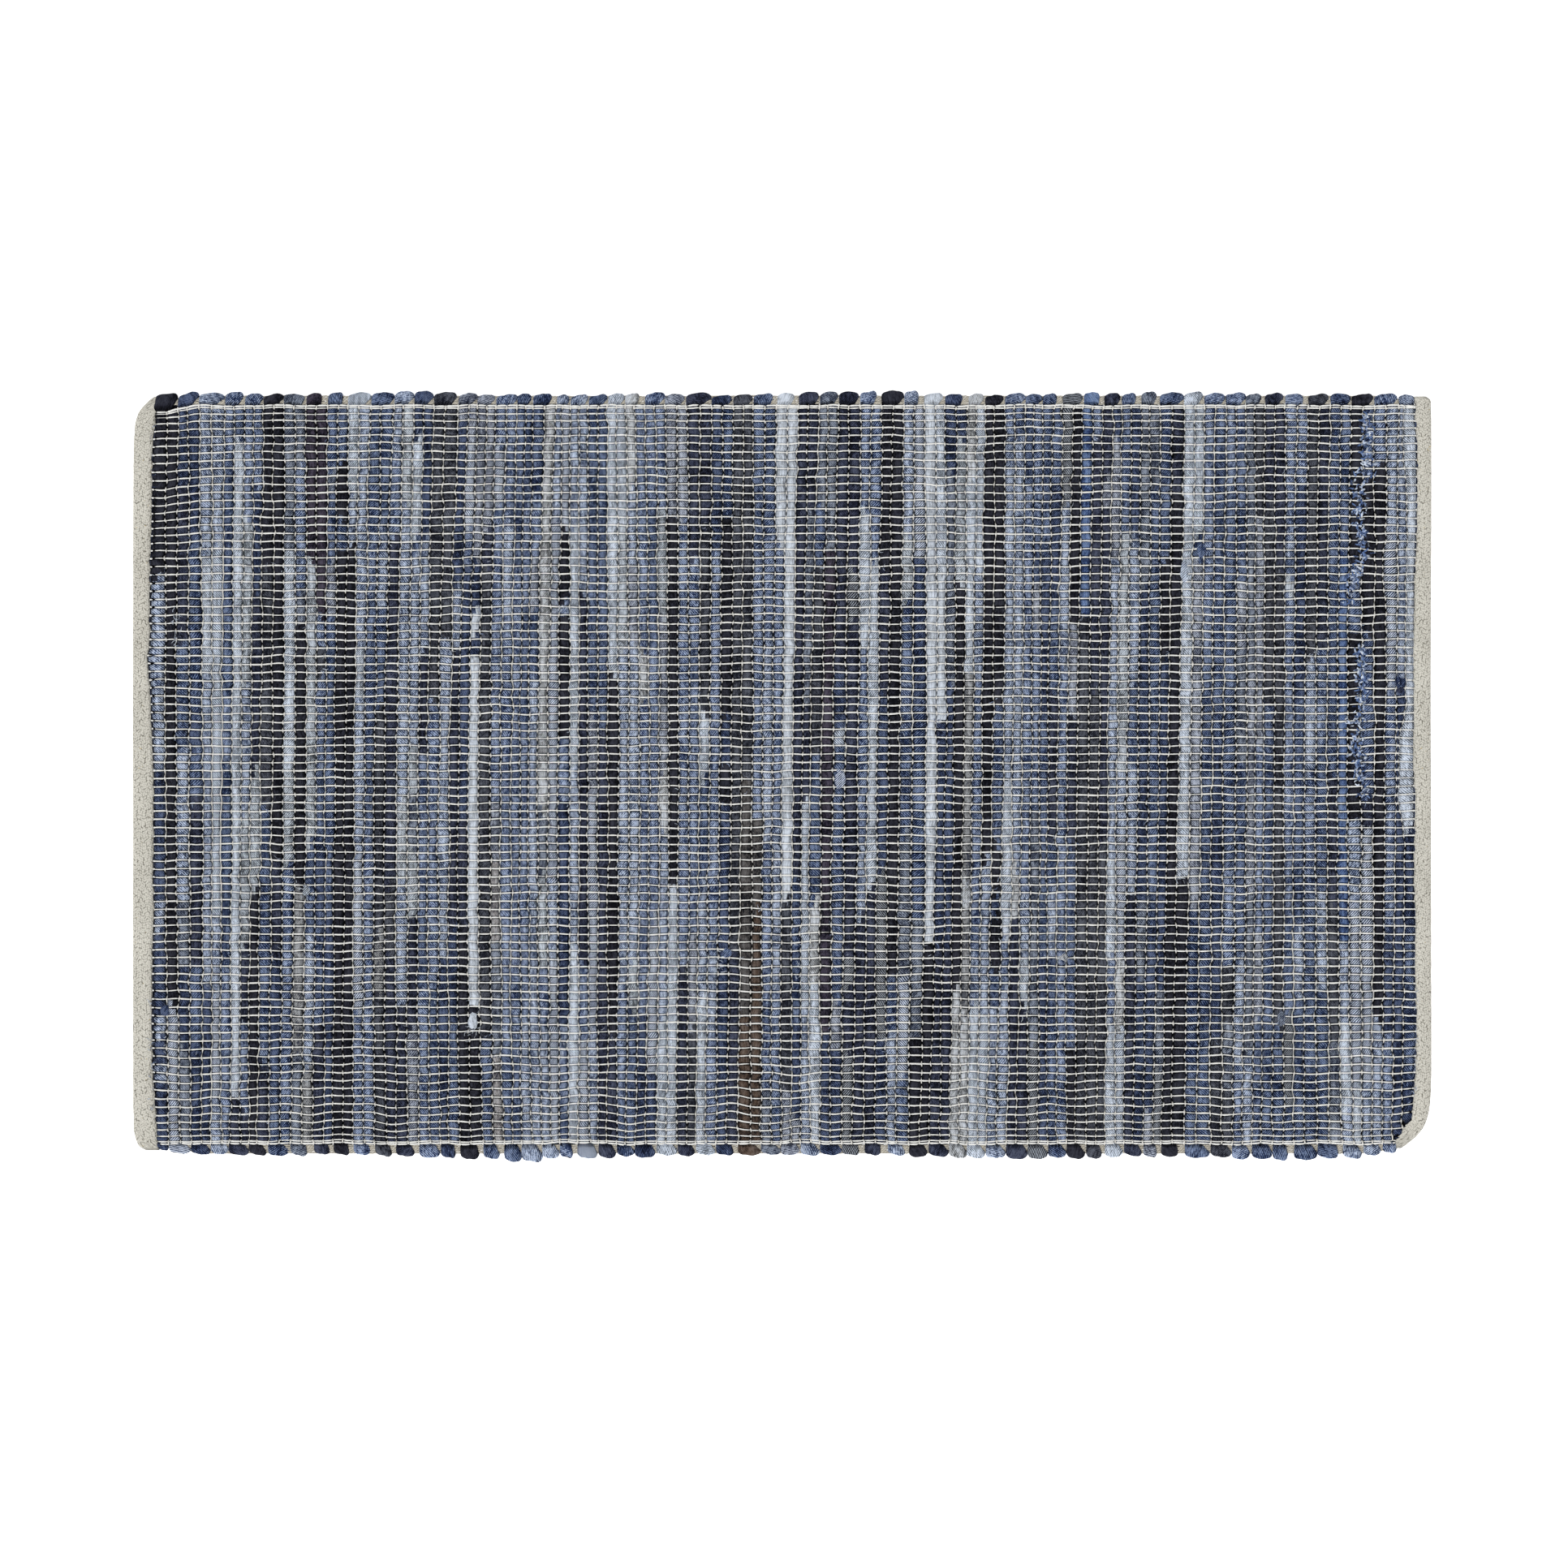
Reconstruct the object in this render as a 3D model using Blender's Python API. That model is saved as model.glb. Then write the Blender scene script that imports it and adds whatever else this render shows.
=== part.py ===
"""Hand-woven rag rug lying flat on the floor.

The field is cotton rag strips beaten side by side, so it has a rib for each strip and a row of loops
along each long edge, where the strips turn back. A cotton tape is folded over each short end.
X runs along the rug, Y across it and Z up from the floor. The origin is under the rug's middle.
"""

import math
import random

import bmesh
import bpy

MM = 0.001

# Driving sizes
RUG_LENGTH = 864 * MM
STRIPS = 122
RIB_TOP = 6.4 * MM
RIB_VALLEY = 4.5 * MM
TAPE_THICKNESS = 1.1 * MM
TAPE_FOLDED = 5.2 * MM
TAPE_FOLD_RADIUS = 1.6 * MM
TAB_BOTTOM = 1.4 * MM
TAB_TOP = 3.8 * MM
GAP = 0.4 * MM
FLOOR = 0.0

# How uneven the hand weaving is
DRIFT = 1.6 * MM
EDGE_SHIFT = 0.6 * MM
RIB_TOP_LOSS = 0.5 * MM
LOOP_REACH = (-2.4 * MM, 4.2 * MM, -0.2 * MM)

# Outline of the loops along each long edge, as (x, y) in mm
FAR_EDGE = ((-432, 252.0), (-400, 254.0), (-200, 253.0), (0, 254.0), (200, 253.0), (432, 253.0))
NEAR_EDGE = (
    (-432, -250.0),
    (-290, -251.6),
    (-185, -253.7),
    (-34, -252.6),
    (176, -253.7),
    (343, -254.8),
    (386, -252.6),
    (400, -250.5),
    (410, -246.5),
    (432, -246.5),
)

# Tape at each short end, as (y, distance from the rug's end) in mm
LEFT_FOLD = (
    (-248.8, 6.5),
    (-246.5, 2.8),
    (-241.5, 0.8),
    (-232.0, 0.2),
    (78.0, 0.0),
    (215.0, 0.5),
    (231.6, 1.6),
    (239.0, 3.5),
    (244.0, 6.2),
    (247.8, 9.5),
    (250.5, 13.0),
)
LEFT_INNER_EDGE = (
    (-248.8, 17.6),
    (-237.8, 17.2),
    (-218.0, 15.6),
    (-60.0, 14.4),
    (78.0, 9.8),
    (218.0, 14.0),
    (239.5, 15.8),
    (250.5, 15.9),
)
RIGHT_FOLD = (
    (-246.0, 20.2),
    (-244.5, 17.3),
    (-242.3, 13.2),
    (-238.0, 8.9),
    (-232.7, 5.1),
    (-225.7, 2.4),
    (-218.0, 0.8),
    (-207.0, 0.0),
    (245.0, 0.0),
    (249.0, 0.4),
    (250.8, 1.6),
    (252.0, 4.0),
)
RIGHT_INNER_EDGE = (
    (-246.0, 24.0),
    (-235.0, 20.3),
    (-218.0, 12.5),
    (-60.0, 11.9),
    (78.0, 12.1),
    (218.0, 10.0),
    (241.0, 10.8),
    (252.0, 11.2),
)

# Rows of points across the rug: mm in from each long edge's outline, and those between, in mm
ROW_INSETS = (0.0, 3.5, 8.5, 11.0)
MIDDLE_ROWS = (-218.0, -60.0, 78.0, 218.0)
UNDER_EDGE_INSET = 1.2 * MM
TAB_ROW_INSET = 2.5 * MM
LEAST_TAB_DEPTH = 1.5 * MM

# Rise of a rib across its strip, as (share of the strip's width, share of the rise)
RIB_SECTION = ((0.0, 0.0), (0.28, 1.0), (0.72, 1.0))

# A loop across its two strips, as (share of the loop's width, mm short of the outline, height in mm)
LOOP_SECTION = (
    (0.00, 3.4, 3.6),
    (0.14, 0.8, 5.6),
    (0.36, 0.0, 6.2),
    (0.50, 0.3, 6.0),
    (0.64, 1.2, 5.2),
    (0.86, 2.6, 4.2),
)
LOOP_OUTLINE_HEIGHT = 3.4 * MM
BOUND_DOWN_HEIGHT = 4.9 * MM

RAG_BLUE = (0.10, 0.14, 0.24, 1.0)
TAPE_ECRU = (0.62, 0.59, 0.52, 1.0)


def read_off(table, at):
    """The table's value at a place, on straight lines between its rows, in metres from its millimetres."""
    at = at / MM
    if at <= table[0][0]:
        return table[0][1] * MM
    for (start, low), (end, high) in zip(table, table[1:]):
        if at <= end:
            return (low + (high - low) * (at - start) / (end - start)) * MM
    return table[-1][1] * MM


def fabric_material(name, colour):
    material = bpy.data.materials.new(name)
    material.use_nodes = True
    shader = material.node_tree.nodes["Principled BSDF"]
    shader.inputs["Base Color"].default_value = colour
    shader.inputs["Roughness"].default_value = 0.95
    shader.inputs["Metallic"].default_value = 0.0
    return material


def add_object(name, mesh_data, material):
    """Makes a node from a bmesh, with its faces turned outwards."""
    bmesh.ops.recalc_face_normals(mesh_data, faces=mesh_data.faces)
    mesh = bpy.data.meshes.new(name)
    mesh_data.to_mesh(mesh)
    mesh_data.free()
    mesh.materials.append(material)
    mesh.shade_smooth()
    mesh.set_sharp_from_angle(angle=math.radians(50))
    part = bpy.data.objects.new(name, mesh)
    bpy.context.scene.collection.objects.link(part)
    return part


class Weave:
    """Where the strips and loops lie, with the small unevenness of hand weaving."""

    def __init__(self):
        draw = random.Random(12)
        self.shifts = [draw.uniform(-EDGE_SHIFT, EDGE_SHIFT) for _ in range(STRIPS + 1)]
        self.phases = [draw.uniform(0, 2 * math.pi) for _ in range(STRIPS + 1)]
        self.rib_losses = [draw.uniform(0, RIB_TOP_LOSS) for _ in range(STRIPS)]
        self.far_reaches = [draw.triangular(*LOOP_REACH) for _ in range(STRIPS // 2 + 1)]
        self.near_reaches = [draw.triangular(*LOOP_REACH) for _ in range(STRIPS // 2 + 1)]

    def strip_edge(self, index, y):
        """x of the boundary before strip number index, at height y across the rug."""
        start = -RUG_LENGTH / 2 + read_off(LEFT_INNER_EDGE, y) + GAP
        end = RUG_LENGTH / 2 - read_off(RIGHT_INNER_EDGE, y) - GAP
        share = index / STRIPS
        if index in (0, STRIPS):
            return start + (end - start) * share
        along = 2 * math.pi * y / RUG_LENGTH
        drift = DRIFT * math.sin(math.pi * share) * math.sin(9 * share + 2.6 * along)
        shift = self.shifts[index] * math.sin(self.phases[index] + 2 * along)
        return start + (end - start) * share + drift + shift

    def place(self, strip, share, y):
        """x inside a strip, from its left boundary at share 0 to its right one at share 1."""
        before = self.strip_edge(strip, y)
        after = self.strip_edge(strip + 1, y)
        return before + (after - before) * share

    def loop_at(self, strip, section, far):
        """(reach of the outline, height) of the loop at one of a strip's section points."""
        paired = strip if far else strip + 1
        row = LOOP_SECTION[section + len(RIB_SECTION) * (paired % 2)]
        reaches = self.far_reaches if far else self.near_reaches
        reach = reaches[paired // 2] - row[1] * MM
        return reach, row[2] * MM


def far_rows(outline):
    return [outline - inset * MM for inset in reversed(ROW_INSETS)]


def near_rows(outline):
    return [outline + inset * MM for inset in ROW_INSETS]


def rib_columns(weave):
    """Columns of the field's points: each is (top points, underside points at the two edges)."""
    columns = []
    for strip in range(STRIPS):
        crown = RIB_TOP - weave.rib_losses[strip]
        for section, (share, rise) in enumerate(RIB_SECTION):
            if strip == 0 and section == 0:
                continue
            height = RIB_VALLEY + (crown - RIB_VALLEY) * rise
            middle_x = weave.place(strip, share, 0)
            far_reach, far_height = weave.loop_at(strip, section, far=True)
            near_reach, near_height = weave.loop_at(strip, section, far=False)
            near = near_rows(read_off(NEAR_EDGE, middle_x) - near_reach)
            far = far_rows(read_off(FAR_EDGE, middle_x) + far_reach)
            ys = near + [y * MM for y in MIDDLE_ROWS] + far
            bound = min(BOUND_DOWN_HEIGHT, height)
            heights = [LOOP_OUTLINE_HEIGHT, near_height, bound]
            heights += [height] * (len(MIDDLE_ROWS) + 2)
            heights += [bound, far_height, LOOP_OUTLINE_HEIGHT]
            top = [(weave.place(strip, share, y), y, z) for y, z in zip(ys, heights)]
            under_ys = (ys[0] + UNDER_EDGE_INSET, ys[-1] - UNDER_EDGE_INSET)
            under = [(weave.place(strip, share, y), y, FLOOR) for y in under_ys]
            columns.append((top, under))
    return columns


def end_rows(fold, outline_near, outline_far, inset):
    """y of each row in the end columns, held inside the tape's own length by inset."""
    low = max(outline_near, fold[0][0] * MM + inset)
    high = min(outline_far, fold[-1][0] * MM - inset)
    return near_rows(low) + [y * MM for y in MIDDLE_ROWS] + far_rows(high)


def end_columns(side, fold, inner_edge):
    """Columns at one short end, from the tab's tip inside the tape to the full field beside it."""
    end_x = side * RUG_LENGTH / 2
    start_near = read_off(NEAR_EDGE, end_x) + LOOP_SECTION[0][1] * MM
    start_far = read_off(FAR_EDGE, end_x) - LOOP_SECTION[0][1] * MM
    tab_ys = end_rows(fold, start_near, start_far, TAB_ROW_INSET)
    body_ys = end_rows(fold, start_near, start_far, 0)
    tip, root, body = ([], []), ([], []), ([], [])
    for y, body_y in zip(tab_ys, body_ys):
        deepest = read_off(fold, y) + TAPE_THICKNESS + 2 * GAP
        depth = min(deepest, read_off(inner_edge, y) - LEAST_TAB_DEPTH)
        tip_x = end_x - side * depth
        root_x = end_x - side * (read_off(inner_edge, y) + GAP)
        body_x = end_x - side * (read_off(inner_edge, body_y) + GAP)
        tip[0].append((tip_x, y, TAB_TOP))
        tip[1].append((tip_x, y, TAB_BOTTOM))
        root[0].append((root_x, y, TAB_TOP))
        root[1].append((root_x, y, TAB_BOTTOM))
        body[0].append((body_x, body_y, RIB_VALLEY))
        body[1].append((body_x, body_y, FLOOR))
    body[0][0] = (*body[0][0][:2], LOOP_OUTLINE_HEIGHT)
    body[0][-1] = (*body[0][-1][:2], LOOP_OUTLINE_HEIGHT)
    return tip, root, body


def skin_between(shape, left, right):
    """Quads between two columns of points that have the same number of rows."""
    for row in range(len(left) - 1):
        shape.faces.new((left[row], right[row], right[row + 1], left[row + 1]))


def add_columns(shape, columns):
    return [[[shape.verts.new(point) for point in line] for line in column] for column in columns]


def make_field(material):
    """The woven field as one solid: ribbed top, looped long edges, flat underside, a tab at each end."""
    shape = bmesh.new()
    left = add_columns(shape, end_columns(-1, LEFT_FOLD, LEFT_INNER_EDGE))
    right = add_columns(shape, end_columns(1, RIGHT_FOLD, RIGHT_INNER_EDGE))[::-1]
    ribs = add_columns(shape, rib_columns(Weave()))

    columns = left + ribs + right
    for first, second in zip(columns, columns[1:]):
        skin_between(shape, first[0], second[0])
        for end in (0, -1):
            shape.faces.new((first[0][end], second[0][end], second[1][end], first[1][end]))

    for end_group in (left, right):
        for first, second in zip(end_group, end_group[1:]):
            skin_between(shape, first[1], second[1])
    for first, second in zip(ribs, ribs[1:]):
        shape.faces.new((first[1][0], second[1][0], second[1][1], first[1][1]))
    shape.faces.new([*left[-1][1], ribs[0][1][1], ribs[0][1][0]])
    shape.faces.new([*right[0][1], ribs[-1][1][1], ribs[-1][1][0]])

    for tip in (left[0], right[-1]):
        skin_between(shape, tip[0], tip[1])
    return add_object("field", shape, material)


def tape_section(outer, inner):
    """The folded tape's section as (distance from the rug's end, z), round its fold and its slot."""
    bend = TAPE_FOLD_RADIUS
    slot_end = outer + TAPE_THICKNESS
    upper_lip = TAPE_FOLDED - TAPE_THICKNESS
    return (
        (inner, TAPE_FOLDED),
        (min(outer + bend, inner - MM), TAPE_FOLDED),
        (outer + 0.3 * bend, TAPE_FOLDED - 0.3 * bend),
        (outer, TAPE_FOLDED - bend),
        (outer, bend),
        (outer + 0.3 * bend, 0.3 * bend),
        (min(outer + bend, inner - MM), FLOOR),
        (inner, FLOOR),
        (inner, TAPE_THICKNESS),
        (slot_end, TAPE_THICKNESS),
        (slot_end, upper_lip),
        (inner, upper_lip),
    )


def make_tape(name, side, fold, inner_edge, material):
    """A tape folded over one short end, as a loft of its section along the end."""
    shape = bmesh.new()
    stations = sorted({y for y, _ in fold + inner_edge})
    rings = []
    for station in stations:
        y = station * MM
        section = tape_section(read_off(fold, y), read_off(inner_edge, y))
        rings.append([shape.verts.new((side * (RUG_LENGTH / 2 - d), y, z)) for d, z in section])
    for ring, following in zip(rings, rings[1:]):
        for i, point in enumerate(ring):
            j = (i + 1) % len(ring)
            shape.faces.new((point, ring[j], following[j], following[i]))
    shape.faces.new(rings[0])
    shape.faces.new(rings[-1])
    return add_object(name, shape, material)


def centre_across(parts):
    """Moves all the parts together, so that their common box is centred on Y."""
    ys = [vertex.co.y for part in parts for vertex in part.data.vertices]
    middle = (min(ys) + max(ys)) / 2
    for part in parts:
        for vertex in part.data.vertices:
            vertex.co.y -= middle


def main():
    for leftover in list(bpy.data.objects):
        bpy.data.objects.remove(leftover)
    rags = fabric_material("rag_weave", RAG_BLUE)
    tape = fabric_material("cotton_tape", TAPE_ECRU)
    centre_across(
        [
            make_field(rags),
            make_tape("tape_left", -1, LEFT_FOLD, LEFT_INNER_EDGE, tape),
            make_tape("tape_right", 1, RIGHT_FOLD, RIGHT_INNER_EDGE, tape),
        ]
    )


main()
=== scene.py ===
"""Looks of the hand-woven rag rug: rag strips, cream cotton warp and picks, loops, tapes and loose ends.

Places are read off the photograph in its pixels, (across, down) from its top left corner.
Heights are in millimetres above the floor.
"""

import math
from functools import partial

import bpy
import numpy as np
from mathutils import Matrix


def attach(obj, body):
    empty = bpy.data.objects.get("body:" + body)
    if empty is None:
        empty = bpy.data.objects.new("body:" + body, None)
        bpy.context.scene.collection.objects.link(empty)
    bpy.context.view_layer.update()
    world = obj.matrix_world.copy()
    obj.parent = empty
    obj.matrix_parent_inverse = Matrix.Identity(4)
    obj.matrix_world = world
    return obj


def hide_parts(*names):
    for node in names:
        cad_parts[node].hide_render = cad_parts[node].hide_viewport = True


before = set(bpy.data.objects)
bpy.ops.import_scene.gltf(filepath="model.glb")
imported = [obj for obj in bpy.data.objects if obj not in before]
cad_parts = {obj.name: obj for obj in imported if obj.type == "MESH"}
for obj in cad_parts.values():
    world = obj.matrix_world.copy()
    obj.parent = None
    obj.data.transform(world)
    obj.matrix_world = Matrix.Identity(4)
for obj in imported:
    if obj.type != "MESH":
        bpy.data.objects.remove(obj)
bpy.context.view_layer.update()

# Photograph: millimetres in a pixel, and the pixel over the origin
PIXEL = 864.0 / 1602.0
MIDDLE_ACROSS = 963.5
MIDDLE_DOWN = 955.5
PHOTO_SIZE = 1932
FAR_PX = 515.0
CENTRE_PX = 950.0
NEAR_PX = 1390.0

# Weave sizes
PICKS = 122
WARP_RADIUS = 0.57
THIN_RADIUS = 0.44
RAG_CROWN = 5.95
RAG_PINCH = 4.65
RAG_SIDE = 3.1
RAG_UNDER = 0.45
RAG_UNDER_PINCH = 1.5
PINCHED_WIDTH = 0.97

# Rows of warp at the far and near edges, in photo px, with even rows between
FAR_ROWS = (502.8, 509.9, 518.4, 527.6, 537.0, 546.5)
NEAR_ROWS = (1372.0, 1381.7, 1390.8, 1399.2, 1405.8)
EVEN_ROWS = 81
DOUBLE_THREAD = 2.9
RAG_FAR_END = 498.4
RAG_NEAR_END = 1410.2

# The cloths: body colour, how dark its deep tone and how pale its pale tone goes (shares), twill pitch in mm,
# then how strong its lines, flecks and streaks are
CLOTHS = {
    "black": ((39, 40, 50), 0.31, 0.08, 1.10, 0.10, 0.30, 0.50),
    "ink": ((49, 54, 74), 0.31, 0.15, 1.10, 0.20, 0.45, 0.50),
    "charcoal": ((62, 65, 75), 0.35, 0.18, 1.10, 0.20, 0.40, 0.50),
    "umber": ((81, 78, 77), 0.35, 0.15, 1.10, 0.10, 0.25, 0.50),
    "brown": ((83, 68, 58), 0.41, 0.15, 1.10, 0.10, 0.25, 0.40),
    "plum": ((62, 57, 71), 0.35, 0.10, 1.10, 0.10, 0.25, 0.40),
    "navy": ((53, 66, 98), 0.31, 0.22, 1.10, 0.30, 0.50, 0.50),
    "indigo": ((55, 74, 114), 0.33, 0.42, 1.10, 0.45, 0.75, 0.50),
    "denim": ((81, 102, 145), 0.35, 0.58, 1.10, 0.50, 1.10, 0.50),
    "blue": ((88, 111, 154), 0.48, 0.25, 1.10, 0.15, 0.30, 0.35),
    "washed": ((126, 144, 178), 0.38, 0.68, 1.10, 0.50, 1.10, 0.50),
    "sky": ((184, 196, 213), 0.46, 0.75, 1.10, 0.45, 0.60, 0.45),
    "white": ((198, 206, 217), 0.80, 0.40, 1.10, 0.12, 0.35, 0.40),
    "pale": ((166, 175, 185), 0.44, 0.55, 1.10, 0.35, 0.55, 0.45),
    "grey": ((128, 135, 152), 0.40, 0.50, 1.10, 0.40, 0.60, 0.45),
    "slate": ((103, 112, 129), 0.38, 0.35, 1.10, 0.30, 0.50, 0.45),
    "stone": ((173, 176, 179), 0.50, 0.60, 1.10, 0.25, 0.40, 0.40),
    "taupe": ((129, 130, 131), 0.48, 0.35, 1.10, 0.20, 0.40, 0.40),
    "sand": ((149, 145, 144), 0.48, 0.35, 1.10, 0.20, 0.40, 0.40),
    "check": ((43, 47, 54), 0.26, 0.62, 1.10, 1.10, 0.25, 0.25),
    "chambray": ((114, 131, 162), 0.40, 0.90, 1.10, 0.90, 0.35, 0.25),
    "skytwill": ((158, 176, 202), 0.44, 0.90, 1.15, 0.80, 0.35, 0.25),
}
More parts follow.
